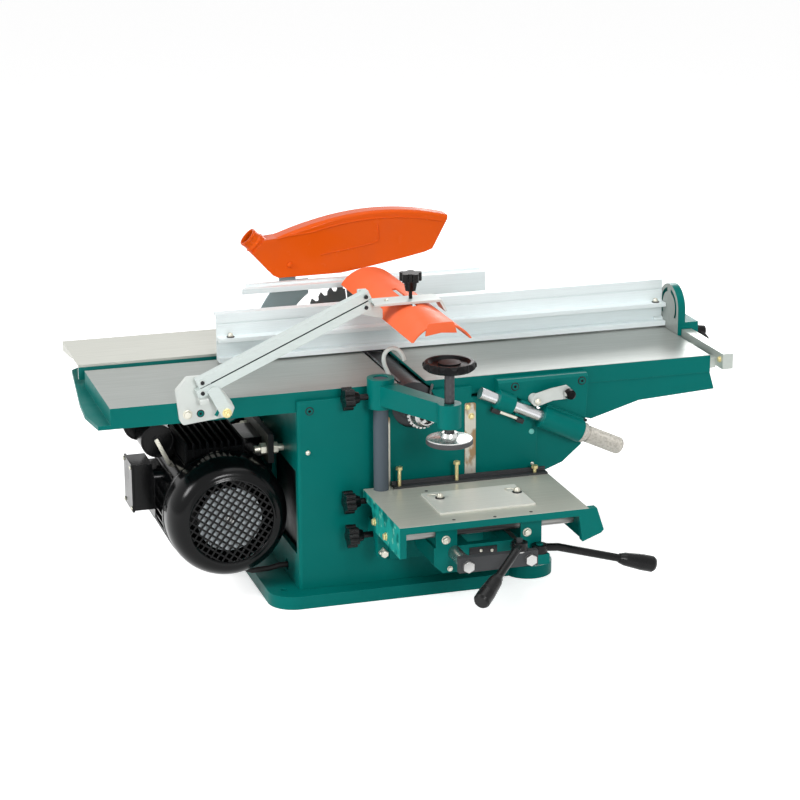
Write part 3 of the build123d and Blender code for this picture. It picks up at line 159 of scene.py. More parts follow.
# Colours
TEAL = tone(0, 110, 104)
# Colours ending in WORN paint the edges of enamel lighter: partly rubbed paint, partly a painted highlight
# along the edges.
TEAL_LIT_AND_WORN = tone(58, 162, 152)
TEAL_RUBBED_AND_LIT = tone(30, 158, 148)
TEAL_CHIP = tone(130, 200, 178)
PALE_TEAL = tone(120, 205, 195)
PALE_TEAL_LIT_AND_WORN = tone(190, 225, 218)
GROUND_IRON = tone(163, 168, 164)
# The table's top is the beds' ground iron painted lighter, a painted highlight.
TABLE_IRON_LIT = tone(194, 196, 185)
PALE_PLATE = tone(203, 204, 195)
WORK_PLATE = tone(228, 229, 221)
ALUMINIUM = tone(236, 245, 246)
ARM_ALUMINIUM = tone(204, 214, 211)
# Painted shade, tinted teal as a painted reflection, for the gap between the guard's arms.
ARM_GAP_SHADE = tone(24, 52, 48)
STEEL = tone(188, 188, 186)
BRIGHT_STEEL = tone(206, 208, 210)
PAD_STEEL = tone(214, 216, 214)
SCALE_STEEL = tone(186, 193, 187)
KNIFE_STEEL = tone(158, 175, 179)
ROD_STEEL = tone(140, 140, 137)
BLADE_STEEL = tone(128, 131, 133)
PIN_STEEL = tone(96, 97, 98)
THREAD_STEEL = tone(70, 70, 72)
DARK_STEEL = tone(62, 63, 65)
GRIP_STEEL = tone(200, 196, 187)
GRIP_GRIME = tone(128, 122, 110)
ROD_MIDDLE_DARK = tone(22, 22, 22)
ZINC = tone(214, 212, 198)
STRAP_ZINC = tone(206, 203, 190)
YELLOW_ZINC = tone(224, 209, 152)
RUST = tone(150, 112, 58)
OFF_WHITE = tone(214, 219, 215)
WHITE_LIT_AND_WORN = tone(240, 242, 238)
GUARD_CORAL = tone(250, 114, 70)
CORAL_LIT_AND_WORN = tone(255, 170, 140)
COVER_ORANGE = tone(222, 86, 12)
SLATE = tone(84, 93, 101)
SLATE_LIT_AND_WORN = tone(150, 156, 160)
FAN_GREY = tone(214, 221, 225)
BLACK = tone(11, 12, 13)
MOTOR_BLACK = tone(6, 7, 8)
MOTOR_LIT_AND_WORN = tone(20, 21, 22)
FIN_BLACK = tone(8, 9, 10)
FIN_LIT_AND_WORN = tone(92, 96, 99)
PLATE_BLACK = tone(30, 32, 33)
PLATE_LIT_AND_WORN = tone(80, 82, 84)
TIE_BLACK = tone(44, 46, 48)
STOP_BLACK = tone(48, 50, 52)
OXIDE_BLACK = tone(28, 29, 31)
RUBBER = tone(30, 30, 30)
GROMMET_RUBBER = tone(26, 26, 27)
RIM_RUBBER = tone(58, 58, 60)


class Finish:
    """One surface finish: a shader, with short calls that add the nodes that feed it."""

    def __init__(self, name, colour, metal=0.0, sheen=0.5):
        self.material = bpy.data.materials.new(name)
        self.material.use_nodes = True
        self.nodes = self.material.node_tree.nodes
        self.links = self.material.node_tree.links
        self.shader = self.nodes["Principled BSDF"]
        self.shader.inputs["Specular IOR Level"].default_value = sheen
        self.place = self.nodes.new("ShaderNodeTexCoord").outputs["Object"]
        self.colour, self.metal = colour, metal
        self.rough = self.height = self.normal = None

    def feed(self, socket, value):
        """Set a socket to a number or colour, or join it to another socket."""
        if isinstance(value, bpy.types.NodeSocket):
            self.links.new(value, socket)
        elif isinstance(value, tuple):
            socket.default_value = (*value, 1.0)
        else:
            socket.default_value = value

    def math(self, operation, first, second):
        node = self.nodes.new("ShaderNodeMath")
        node.operation = operation
        self.feed(node.inputs[0], first)
        self.feed(node.inputs[1], second)
        return node.outputs[0]

    def both(self, first, second):
        """Where two masks meet, or one mask at a share of its strength."""
        return self.math("MULTIPLY", first, second)

    def span(self, value, low, high, to_low=0.0, to_high=1.0):
        """Stretch the range low to high onto another range, and hold it there."""
        node = self.nodes.new("ShaderNodeMapRange")
        self.feed(node.inputs["Value"], value)
        for name, number in (("From Min", low), ("From Max", high), ("To Min", to_low), ("To Max", to_high)):
            node.inputs[name].default_value = number
        return node.outputs["Result"]

    def axis(self, letter):
        node = self.nodes.new("ShaderNodeSeparateXYZ")
        self.links.new(self.place, node.inputs[0])
        return node.outputs[letter]

    def beyond(self, letter, limit, soft=0.15 * MM):
        """1 where the coordinate is past a limit, 0 before it."""
        return self.span(self.axis(letter), limit - soft, limit + soft)

    def before(self, letter, limit):
        """1 where the coordinate is short of a limit, 0 past it."""
        return self.math("SUBTRACT", 1.0, self.beyond(letter, limit))

    def within(self, letter, low, high):
        return self.both(self.beyond(letter, low), self.before(letter, high))

    def noise(self, scale, stretch=(1.0, 1.0, 1.0), detail=3.0):
        """Noise on the piece's own coordinates. A small stretch draws it out along that axis."""
        mapping = self.nodes.new("ShaderNodeMapping")
        mapping.inputs["Scale"].default_value = stretch
        self.links.new(self.place, mapping.inputs["Vector"])
        node = self.nodes.new("ShaderNodeTexNoise")
        node.inputs["Scale"].default_value = scale
        node.inputs["Detail"].default_value = detail
        self.links.new(mapping.outputs["Vector"], node.inputs["Vector"])
        return node.outputs["Fac"]

    def rings(self, scale, direction):
        """Even bands across one axis, as on a thread."""
        node = self.nodes.new("ShaderNodeTexWave")
        node.bands_direction = direction
        node.inputs["Scale"].default_value = scale
        self.links.new(self.place, node.inputs["Vector"])
        return node.outputs["Fac"]

    def soft_edges(self, radius):
        """Rounded edge normals, and a mask of the edges themselves."""
        bevel = self.nodes.new("ShaderNodeBevel")
        bevel.samples = 4
        bevel.inputs["Radius"].default_value = radius
        geometry = self.nodes.new("ShaderNodeNewGeometry")
        dot = self.nodes.new("ShaderNodeVectorMath")
        dot.operation = "DOT_PRODUCT"
        self.links.new(bevel.outputs[0], dot.inputs[0])
        self.links.new(geometry.outputs["Normal"], dot.inputs[1])
        self.normal = bevel.outputs[0]
        return self.span(dot.outputs["Value"], 0.985, 0.80)

    def mix(self, mask, first, second):
        """One colour, or another where the mask is 1."""
        node = self.nodes.new("ShaderNodeMix")
        node.data_type = "RGBA"
        self.feed(node.inputs["Factor"], mask)
        self.feed(node.inputs[6], first)
        self.feed(node.inputs[7], second)
        return node.outputs[2]

    def lerp(self, mask, first, second):
        """One number, or another where the mask is 1."""
        node = self.nodes.new("ShaderNodeMix")
        self.feed(node.inputs["Factor"], mask)
        self.feed(node.inputs[2], first)
        self.feed(node.inputs[3], second)
        return node.outputs[0]

    def layer(self, mask, colour=None, rough=None, metal=None):
        """Lay another surface over this one where the mask is 1."""
        if colour is not None:
            self.colour = self.mix(mask, self.colour, colour)
        if rough is not None:
            self.rough = self.lerp(mask, self.rough, rough)
        if metal is not None:
            self.metal = self.lerp(mask, self.metal, metal)

    def raise_by(self, relief, depth, mask=None):
        """Add a relief of that depth to the surface, only where the mask is 1 if there is one."""
        share = self.math("MULTIPLY", relief, depth)
        if mask is not None:
            share = self.both(share, mask)
        self.height = share if self.height is None else self.math("ADD", self.height, share)

    def done(self):
        for name, value in (("Base Color", self.colour), ("Roughness", self.rough), ("Metallic", self.metal)):
            self.feed(self.shader.inputs[name], value)
        bump = self.nodes.new("ShaderNodeBump")
        bump.inputs["Distance"].default_value = 1.0
        self.links.new(self.height, bump.inputs["Height"])
        self.links.new(self.normal, bump.inputs["Normal"])
        self.links.new(bump.outputs[0], self.shader.inputs["Normal"])
        return self.material


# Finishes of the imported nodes


def enamel(name, colour, lit_and_worn, rough=0.36, edge=1.2 * MM, sheen=0.08):
    """Sprayed paint: a faint orange peel, slight cloudiness, and edges painted lighter in patches, partly
    rubbed paint and partly a painted highlight.
    """
    finish = Finish(name, colour, sheen=sheen)
    finish.layer(finish.span(finish.noise(9.0), 0.40, 0.75, 0.0, 0.20), colour=shaded(colour, 0.72))
    # Lighter edges in patches: partly rubbed paint, partly a painted highlight along the edges.
    rub = finish.span(finish.noise(60.0), 0.35, 0.65, 0.1, 0.6)
    finish.layer(finish.both(finish.soft_edges(edge), rub), colour=lit_and_worn)
    finish.rough = finish.span(finish.noise(24.0), 0.3, 0.7, rough - 0.06, rough + 0.08)
    finish.raise_by(finish.noise(420.0, detail=1.0), 0.05 * MM)
    return finish


def bare_metal(name, colour, rough, metal, stretch=(0.1, 4.0, 4.0), grain=160.0):
    """Bare metal with a drawn or ground grain, and edges painted brighter as a painted highlight."""
    finish = Finish(name, colour, metal)
    streak = finish.noise(grain, stretch)
    finish.layer(finish.span(streak, 0.35, 0.7, 0.0, 0.3), colour=shaded(colour, 0.82))
    # Painted highlight along the edges.
    finish.layer(finish.both(finish.soft_edges(0.8 * MM), 0.5), colour=shaded(colour, 1.15))
    finish.rough = finish.span(streak, 0.3, 0.7, rough - 0.06, rough + 0.08)
    finish.raise_by(streak, 0.012 * MM)
    return finish


def moulded(name, colour, rough, sheen=0.3, grain=0.03 * MM, edge=1.0 * MM):
    """Moulded plastic or rubber: fine grain, a little dust, and softer edges painted paler as a painted
    highlight.
    """
    finish = Finish(name, colour, sheen=sheen)
    dust = finish.span(finish.noise(14.0, detail=5.0), 0.52, 0.75, 0.0, 0.22)
    finish.layer(dust, colour=shaded(colour, 0.65, 0.03))
    # Painted highlight along the edges.
    finish.layer(finish.both(finish.soft_edges(edge), 0.25), colour=shaded(colour, 1.0, 0.10))
    finish.rough = finish.span(finish.noise(40.0), 0.3, 0.7, rough - 0.05, rough + 0.09)
    finish.raise_by(finish.noise(700.0, detail=1.0), grain)
    return finish


def lay_ground_iron(finish, mask, colour=GROUND_IRON, metal=0.42):
    """Surface-ground iron over one face of a painted casting, streaked along the bed."""
    streak = finish.noise(90.0, stretch=(0.12, 5.0, 1.0), detail=4.0)
    cloud = finish.noise(5.0, stretch=(0.7, 1.3, 1.0))
    shade = finish.mix(finish.span(streak, 0.35, 0.65, 0.0, 0.35), colour, shaded(colour, 0.80))
    shade = finish.mix(finish.span(cloud, 0.4, 0.7, 0.0, 0.25), shade, shaded(colour, 0.86))
    finish.layer(mask, colour=shade, rough=finish.span(streak, 0.3, 0.7, 0.30, 0.44), metal=metal)
    finish.raise_by(streak, 0.02 * MM, mask)


def teal_bed():
    finish = enamel("teal_bed", TEAL, TEAL_LIT_AND_WORN)
    lay_ground_iron(finish, finish.beyond("Z", BED_TOP - BED_SKIN * MM))
    return finish


def teal_work_table():
    """Painted table, ground on top, with its left end chipped and painted lighter in patches, partly rubbed
    paint and partly a painted highlight.
    """
    finish = enamel("teal_work_table", TEAL, TEAL_LIT_AND_WORN)
    # The left end face is painted lighter in patches: partly rubbed paint, partly a painted highlight of that
    # lit face.
    left = finish.before("X", TABLE_END + FACE_SKIN * MM)
    lit_and_worn = finish.span(finish.noise(40.0, detail=4.0), 0.40, 0.50)
    finish.layer(finish.both(left, lit_and_worn), colour=TEAL_RUBBED_AND_LIT, rough=0.45)
    chips = finish.span(finish.noise(90.0, detail=6.0), 0.58, 0.64, 0.0, 0.8)
    finish.layer(finish.both(left, chips), colour=TEAL_CHIP, rough=0.5)
    # Its top is the ground iron painted lighter as a painted highlight.
    lay_ground_iron(finish, finish.beyond("Z", TABLE_TOP - FACE_SKIN * MM), TABLE_IRON_LIT, metal=0.35)
    return finish


def teal_bracket():
    """Painted fence bracket, ground on its left face."""
    finish = enamel("teal_bracket", TEAL, TEAL_LIT_AND_WORN)
    lay_ground_iron(finish, finish.before("X", BRACKET_FACE + FACE_SKIN * MM))
    return finish


def pale_saw_plate():
    """Pale ground plate over a painted skirt."""
    finish = bare_metal("pale_saw_plate", PALE_PLATE, 0.42, 0.35, stretch=(0.15, 3.0, 1.0), grain=70.0)
    skirt = finish.before("Z", SAW_TOP - SAW_PLATE_EDGE * MM)
    front = finish.before("Y", SAW_FRONT + SAW_SKIRT_DEPTH * MM)
    finish.layer(finish.both(skirt, front), colour=TEAL, rough=0.36, metal=0.0)
    return finish


def arm_metal(name):
    return bare_metal(name, ARM_ALUMINIUM, 0.36, 0.15, stretch=(0.4, 4.0, 4.0))


def arm_bar(name, pivot_z, side):
    """Extruded arm, with painted shade, tinted teal as a painted reflection, on the face that runs close
    along the other arm.
    """
    finish = arm_metal(name)
    rise, run = math.cos(ARM_RISE), math.sin(ARM_RISE)
    across = finish.math("SUBTRACT", finish.math("MULTIPLY", finish.axis("Z"), rise),
                         finish.math("MULTIPLY", finish.axis("X"), run))
    pivot = point(ARM_PIVOT_X, 0, pivot_z)
    face = pivot.z * rise - pivot.x * run + side * (ARM_HEIGHT / 2.0 - 0.4) * MM
    # Painted shade in the gap between the two arms, tinted teal as a painted reflection.
    gap_shade = finish.both(finish.beyond("X", pivot.x + ARM_HEIGHT * MM),
                         finish.span(across, face - side * 0.2 * MM, face + side * 0.2 * MM))
    finish.layer(gap_shade, colour=ARM_GAP_SHADE, rough=0.6, metal=0.0)
    return finish


def rod_metal(name, colour, rough, metal):
    return bare_metal(name, colour, rough, metal, stretch=(0.6, 0.6, 0.6), grain=40.0)


def dark_middle_rods():
    """Table rods, black along their middle stretch, fading at both ends."""
    finish = rod_metal("dark_middle_rods", ROD_STEEL, 0.30, 0.85)
    run = finish.both(finish.span(finish.axis("X"), DARK_LEFT * MM, (DARK_LEFT + DARK_FADE) * MM),
                      finish.span(finish.axis("X"), DARK_RIGHT * MM, (DARK_RIGHT - DARK_FADE) * MM))
    finish.layer(run, colour=ROD_MIDDLE_DARK, rough=0.4, metal=0.2)
    return finish


def tie_and_bars():
    """Steel guide bars, with a black tie bar across their front."""
    finish = rod_metal("tie_and_bars", STEEL, 0.26, 0.9)
    finish.layer(finish.within("Y", TIE_FRONT * MM, TIE_BACK * MM), colour=TIE_BLACK, rough=0.6, metal=0.0)
    return finish


def strap_zinc():
    """Zinc-coated strap with rust that has bled down it."""
    finish = bare_metal("strap_zinc", STRAP_ZINC, 0.42, 0.4, stretch=(4.0, 4.0, 0.3))
    stain = finish.span(finish.noise(34.0, stretch=(1.4, 1.0, 0.7), detail=6.0), 0.49, 0.57, 0.0, 0.85)
    finish.layer(stain, colour=RUST, rough=0.75, metal=0.0)
    return finish


def wheel_and_screw():
    """Black moulded wheel on a dark threaded screw."""
    finish = moulded("wheel_and_screw", BLACK, 0.34, sheen=0.12)
    shank = finish.before("Z", above_base(WHEEL_UNDERSIDE))
    finish.layer(shank, colour=THREAD_STEEL, rough=0.42, metal=0.7)
    finish.raise_by(finish.rings(26.0, "Z"), 0.6 * MM, shank)
    return finish


def knurled_grip():
    """Steel dulled in the hollows of its knurl."""
    finish = bare_metal("knurled_grip", GRIP_STEEL, 0.45, 0.35, stretch=(3.0, 3.0, 3.0))
    grime = finish.span(finish.noise(260.0, detail=4.0), 0.45, 0.65, 0.0, 0.45)
    finish.layer(grime, colour=GRIP_GRIME)
    return finish


def plate_and_stop():
    """Pale work plate, black stop angle and yellow-zinc bolts."""
    finish = bare_metal("plate_and_stop", WORK_PLATE, 0.40, 0.25)
    finish.layer(finish.beyond("Y", STOP_FRONT * MM), colour=STOP_BLACK, rough=0.5, metal=0.2)
    bolts = finish.both(finish.within("Y", STOP_BOLTS_FRONT * MM, STOP_BOLTS_BACK * MM),
                        finish.beyond("Z", above_base(STOP_BOLTS_LOW)))
    finish.layer(bolts, colour=YELLOW_ZINC, rough=0.35, metal=0.6)
    return finish


def lever_and_knob():
    """Off-white lever with a black ball knob."""
    finish = enamel("lever_and_knob", OFF_WHITE, WHITE_LIT_AND_WORN, rough=0.42)
    knob = finish.both(finish.beyond("X", KNOB_LEFT * MM), finish.before("Y", KNOB_BACK * MM))
    finish.layer(knob, colour=BLACK, rough=0.3)
    return finish


def plate_and_studs():
    """Black motor plate with zinc studs and nuts through it."""
    finish = enamel("plate_and_studs", PLATE_BLACK, PLATE_LIT_AND_WORN, rough=0.45)
    plate = finish.within("X", MOTOR_PLATE_LEFT * MM, MOTOR_PLATE_RIGHT * MM)
    finish.layer(finish.math("SUBTRACT", 1.0, plate), colour=ZINC, rough=0.35, metal=0.7)
    return finish


def pad_and_rim():
    """Bright swivel pad with a dark rubber rim."""
    finish = bare_metal("pad_and_rim", PAD_STEEL, 0.22, 0.85)
    finish.layer(finish.before("Z", above_base(PAD_RIM_TOP)), colour=RIM_RUBBER, rough=0.6, metal=0.0)
    return finish


def dress_nodes():
    """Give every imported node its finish."""
    looks = [
        (enamel("teal_enamel", TEAL, TEAL_LIT_AND_WORN),
         ["base", "front_plate", "rear_plate", "side_plates", "ways_casting", "adjuster_bracket",
          "adjuster_nut", "lift_carriage", "cross_carriage", "hold_arm", "belt_guard", "saw_saddles"]),
        (teal_bed(), ["outfeed_table", "infeed_table"]),
        (teal_work_table(), ["mortise_table"]),
        (teal_bracket(), ["fence_bracket"]),
        (pale_saw_plate(), ["saw_table"]),
        (bare_metal("drawn_aluminium", ALUMINIUM, 0.34, 0.05), ["fence", "rip_fence"]),
        (bare_metal("scale_steel", SCALE_STEEL, 0.36, 0.4, stretch=(4.0, 0.2, 4.0)), ["scale_bar"]),
        (arm_bar("lower_arm_bar", LOWER_PIVOT_Z, 1.0), ["lower_arm"]),
        (arm_bar("upper_arm_bar", UPPER_PIVOT_Z, -1.0), ["upper_arm"]),
        (arm_metal("arm_head_cast"), ["arm_head"]),
        (bare_metal("turned_steel", STEEL, 0.28, 0.95, stretch=(3.0, 0.2, 3.0)),
         ["spindle_shaft", "spindle_pulley", "rotor_shaft", "drill_chuck"]),
        (rod_metal("polished_rod", BRIGHT_STEEL, 0.20, 0.95), ["adjuster_rod"]),
        (dark_middle_rods(), ["table_rods"]),
        (bare_metal("dark_iron", DARK_STEEL, 0.42, 0.7), ["bearing_housings", "cutter_block"]),
        (bare_metal("blade_steel", BLADE_STEEL, 0.30, 0.8, stretch=(0.8, 1.0, 0.8), grain=30.0),
         ["saw_blade", "planer_knives"]),
        (bare_metal("knife_plate", KNIFE_STEEL, 0.38, 0.45, stretch=(0.5, 0.5, 2.0), grain=30.0),
         ["riving_knife"]),
        (enamel("coral_powder_coat", GUARD_CORAL, CORAL_LIT_AND_WORN, rough=0.42, edge=0.8 * MM), ["bridge_guard"]),
        (moulded("orange_moulding", COVER_ORANGE, 0.20, sheen=0.1, grain=0.006 * MM, edge=1.5 * MM),
         ["saw_guard"]),
        (enamel("white_enamel", OFF_WHITE, WHITE_LIT_AND_WORN, rough=0.40, edge=0.8 * MM),
         ["bridge_bracket", "slot_hook"]),
        (enamel("motor_enamel", MOTOR_BLACK, MOTOR_LIT_AND_WORN, rough=0.16, edge=1.0 * MM, sheen=0.18),
         ["motor_housing", "fan_cover", "motor_electrics"]),
        (moulded("fan_plastic", FAN_GREY, 0.5), ["cooling_fan"]),
        (moulded("black_plastic", BLACK, 0.26, sheen=0.2),
         ["fence_clamp_lever", "guard_knob", "depth_lever", "traverse_lever", "column_knob", "arm_knob",
          "lift_knob"]),
        (moulded("dull_rubber", RUBBER, 0.65, grain=0.06 * MM), ["drive_belts", "motor_lead"]),
        (enamel("slate_paint", SLATE, SLATE_LIT_AND_WORN, rough=0.40), ["hold_column"]),
        (strap_zinc(), ["gib_straps"]),
        (wheel_and_screw(), ["hold_screw"]),
        (knurled_grip(), ["adjuster_grip"]),
        (tie_and_bars(), ["guide_bars"]),
        (plate_and_stop(), ["table_fittings"]),
        (lever_and_knob(), ["lock_lever"]),
        (plate_and_studs(), ["motor_plate"]),
        (pad_and_rim(), ["hold_pad"]),
    ]
    for finish, names in looks:
        material = finish.done()
        for name in names:
            nodes[name].data.materials.clear()
            nodes[name].data.materials.append(material)


def finish_of(node):
    return nodes[node].data.materials[0]


dress_nodes()

# Tools for the small pieces

SEAT_REACH = 60 * MM
BEVEL_ANGLE, SMOOTH_ANGLE, ROD_SMOOTH_ANGLE = math.radians(30.0), math.radians(35.0), math.radians(50.0)


def axes(along, across, up):
    """The turn that sets a piece's X, Y and Z along three ways."""
    return Matrix((along, across, up)).transposed().to_4x4()


def facing(way):
    """The turn that sets a piece's Z along a way."""
    return way.to_track_quat("Z", "Y").to_matrix().to_4x4()


FLAT_TO_FRONT = axes(RIGHT, UP, FRONT)
FLAT_TO_RIGHT = axes(REAR, UP, RIGHT)


def begin(item=None):
    """Leave edit mode and take up one piece or none, so that an operator works on that piece alone."""
    if bpy.context.mode != "OBJECT":
        bpy.ops.object.mode_set(mode="OBJECT")
    bpy.ops.object.select_all(action="DESELECT")
    if item is not None:
        item.select_set(True)
        bpy.context.view_layer.objects.active = item


def close_up():
    """End a piece's shaping with its faces turned outwards."""
    bpy.ops.mesh.select_all(action="SELECT")
    bpy.ops.mesh.normals_make_consistent(inside=False)
    bpy.ops.object.mode_set(mode="OBJECT")


def turn_up(name, sides, rungs, open_ends=False):
    """A solid drawn up from a disc: each rung is a height and a radius in millimetres."""
    begin()
    height, radius = rungs[0]
    bpy.ops.mesh.primitive_circle_add(vertices=sides, radius=radius * MM,
                                      fill_type="NOTHING" if open_ends else "NGON",
                                      location=(0.0, 0.0, height * MM))
    item = bpy.context.object
    item.name = name
    bpy.ops.object.transform_apply(location=True, rotation=True, scale=True)
    bpy.ops.object.mode_set(mode="EDIT")
    bpy.ops.mesh.select_all(action="SELECT")
    for next_height, next_radius in rungs[1:]:
        rise = (0.0, 0.0, (next_height - height) * MM)
        bpy.ops.mesh.extrude_region_move(TRANSFORM_OT_translate={"value": rise})
        share = next_radius / radius
        bpy.ops.transform.resize(value=(share, share, 1.0), center_override=(0.0, 0.0, 0.0))
        height, radius = next_height, next_radius
    close_up()
    return item


def flat_bar(name, length, width, thick):
    """A flat bar along X on the plane Z = 0, sizes in millimetres."""
    begin()
    bpy.ops.mesh.primitive_plane_add(size=1.0)
    item = bpy.context.object
    item.name = name
    bpy.ops.object.mode_set(mode="EDIT")
    bpy.ops.mesh.select_all(action="SELECT")
    bpy.ops.transform.resize(value=(length * MM, width * MM, 1.0), center_override=(0.0, 0.0, 0.0))
    bpy.ops.mesh.extrude_region_move(TRANSFORM_OT_translate={"value": (0.0, 0.0, thick * MM)})
    close_up()
    return item


def rod_along(name, places, radius, smooth=False):
    """A thin round bead or wire through a run of places, or drawn smoothly by them."""
    begin()
    bpy.ops.curve.primitive_nurbs_path_add()
    item = bpy.context.object
    item.name = name
    item.data.splines.clear()
    run = item.data.splines.new("NURBS" if smooth else "POLY")
    run.points.add(len(places) - 1)
    for knot, place in zip(run.points, places):
        knot.co = (*place, 1.0)
    run.order_u = 4
    run.use_endpoint_u = True
    item.data.bevel_depth = radius * MM
    item.data.bevel_resolution = 3
    item.data.use_fill_caps = True
    bpy.ops.object.convert(target="MESH")
    item = bpy.context.object
    bpy.ops.object.shade_smooth_by_angle(angle=ROD_SMOOTH_ANGLE)
    return item


def apply_modifier(item, kind, **settings):
    """Put a modifier on a piece, set it and apply it."""
    begin(item)
    modifier = item.modifiers.new(kind.lower(), kind)
    for name, value in settings.items():
        setattr(modifier, name, value)
    bpy.ops.object.modifier_apply(modifier=modifier.name)
    return item


def soften(item, width):
    """Round the hard edges and smooth the rest."""
    apply_modifier(item, "BEVEL", width=width * MM, segments=2, limit_method="ANGLE", angle_limit=BEVEL_ANGLE)
    bpy.ops.object.shade_smooth_by_angle(angle=SMOOTH_ANGLE)
    return item


def cut(item, operation, tool):
    """Cut a piece with another one, which is used up."""
    apply_modifier(item, "BOOLEAN", operation=operation, object=tool)
    bpy.data.objects.remove(tool)
    return item


def join(name, items):
    """Join pieces into one. Each keeps its own shell."""
    begin()
    for item in items:
        item.select_set(True)
    bpy.context.view_layer.objects.active = items[0]
    if len(items) > 1:
        bpy.ops.object.join()
    items[0].name = name
    return items[0]


def set_down(item, place, turn=Matrix.Identity(4)):
    """Turn a piece, put it in its place and keep both in its mesh."""
    item.matrix_world = Matrix.Translation(place) @ turn
    begin(item)
    bpy.ops.object.transform_apply(location=True, rotation=True, scale=True)
    return item


def dress(item, body, slot, finish):
    """Give a piece its finish and hang it on the body that it rides on. The slot, what it is made of, is not
    used.
    """
    item.data.materials.clear()
    item.data.materials.append(finish)
    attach(item, body)


def side_place(node, way, first, second):
    """A place on a side of a node's box: x and z at front or rear, y and z at the left, x and y on top."""
    low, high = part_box(node)
    if way == UP:
        return Vector((first * MM, second * MM, high.z))
    if way == LEFT:
        return Vector((low.x, first * MM, above_base(second)))
    return Vector((first * MM, low.y if way == FRONT else high.y, above_base(second)))


def seat(node, place, way):
    """Where a fastener meets a node when it is pushed in against the way that it looks."""
    hit, spot = nodes[node].ray_cast(place + way * SEAT_REACH, -way)[:2]
    if not hit:
        raise ValueError(f"no surface of {node} at {place[:]}")
    return spot


# Turned pieces: the width of their rounded edges, then the sides and rungs of each part

WASHER = (32, [(0.0, 9.2), (1.4, 9.2)])
TURNED = {
    "hex_bolt": (0.3, WASHER, (6, [(1.4, 7.6), (6.0, 7.6), (6.9, 6.2)])),
    "stud_nut": (0.25, WASHER, (6, [(1.4, 6.6), (2.0, 7.6), (6.4, 7.6), (7.0, 6.6)]),
                 (20, [(6.0, 4.0), (15.0, 4.0), (16.2, 3.0)])),
    # The thin black ring of ring_socket, showing round its painted collar, is painted shade for the gap round
    # the head in its counterbore.
    "ring_socket": (0.08, (32, [(0.0, 8.0), (0.4, 8.0), (0.7, 7.6), (0.7, 6.2), (0.4, 6.0)]),
                    (6, [(0.4, 3.0), (1.8, 3.0), (1.8, 2.2), (1.6, 2.1)])),
    "socket_collar": (0.15, (32, [(0.3, 6.0), (1.9, 6.0), (2.4, 5.4), (2.4, 3.3), (1.6, 3.2)])),
    "socket_screw": (0.2, (24, [(0.0, 6.5), (4.2, 6.5), (5.0, 5.8), (5.0, 3.2), (2.4, 3.1)])),
    "rivet": (0.15, (24, [(0.0, 4.4), (0.7, 4.4), (1.7, 3.8), (2.5, 2.4), (2.8, 0.8)])),
    "flat_washer": (0.15, (32, [(0.0, 8.4), (1.1, 8.4), (1.5, 7.9), (1.5, 4.4), (0.9, 4.2)])),
    "dome_nut": (0.2, (6, [(1.0, 6.2), (4.6, 6.2), (5.2, 5.3)]),
                 (24, [(5.0, 4.9), (7.0, 4.6), (8.8, 3.2), (9.6, 1.2)])),
    "set_screw": (0.05, (20, [(0.0, 2.8), (0.35, 2.7), (0.35, 1.4), (0.12, 1.3)])),
    "grommet": (0.3, (32, [(0.0, 12.0), (2.6, 12.0), (3.8, 10.6), (3.8, 6.4), (0.8, 5.8)])),
    "stop_bolt": (0.3, (4, [(0.0, 8.4), (7.0, 8.4), (7.6, 7.6)]),
                  (6, [(7.0, 6.6), (12.5, 6.6), (13.3, 5.4)])),
    "barrel_screw": (0.15, (20, [(0.0, 2.5), (8.2, 2.5), (9.0, 1.9), (9.0, 1.1), (7.5, 1.0)])),
    "stop_pin": (0.2, (20, [(0.0, 2.4), (26.0, 2.4), (27.2, 1.6)])),
}


def shape_turned(name):
    """A turned piece, its parts joined and its edges rounded."""
    soft, *parts = TURNED[name]
    return soften(join(name, [turn_up(name, sides, rungs) for sides, rungs in parts]), soft)


def shape_slotted_screw():
    """Cheese-head screw with a driver slot cut across it."""
    head = turn_up("slotted_screw", 28, [(0.0, 4.6), (2.2, 4.6), (2.8, 4.0)])
    cutter = set_down(flat_bar("cutter", 12.0, 1.1, 2.0), (0.0, 0.0, 1.7 * MM))
    return soften(cut(head, "DIFFERENCE", cutter), 0.1)


# Fasteners: the shape, the way it looks, the node it sits on, the body, the finish and the spots

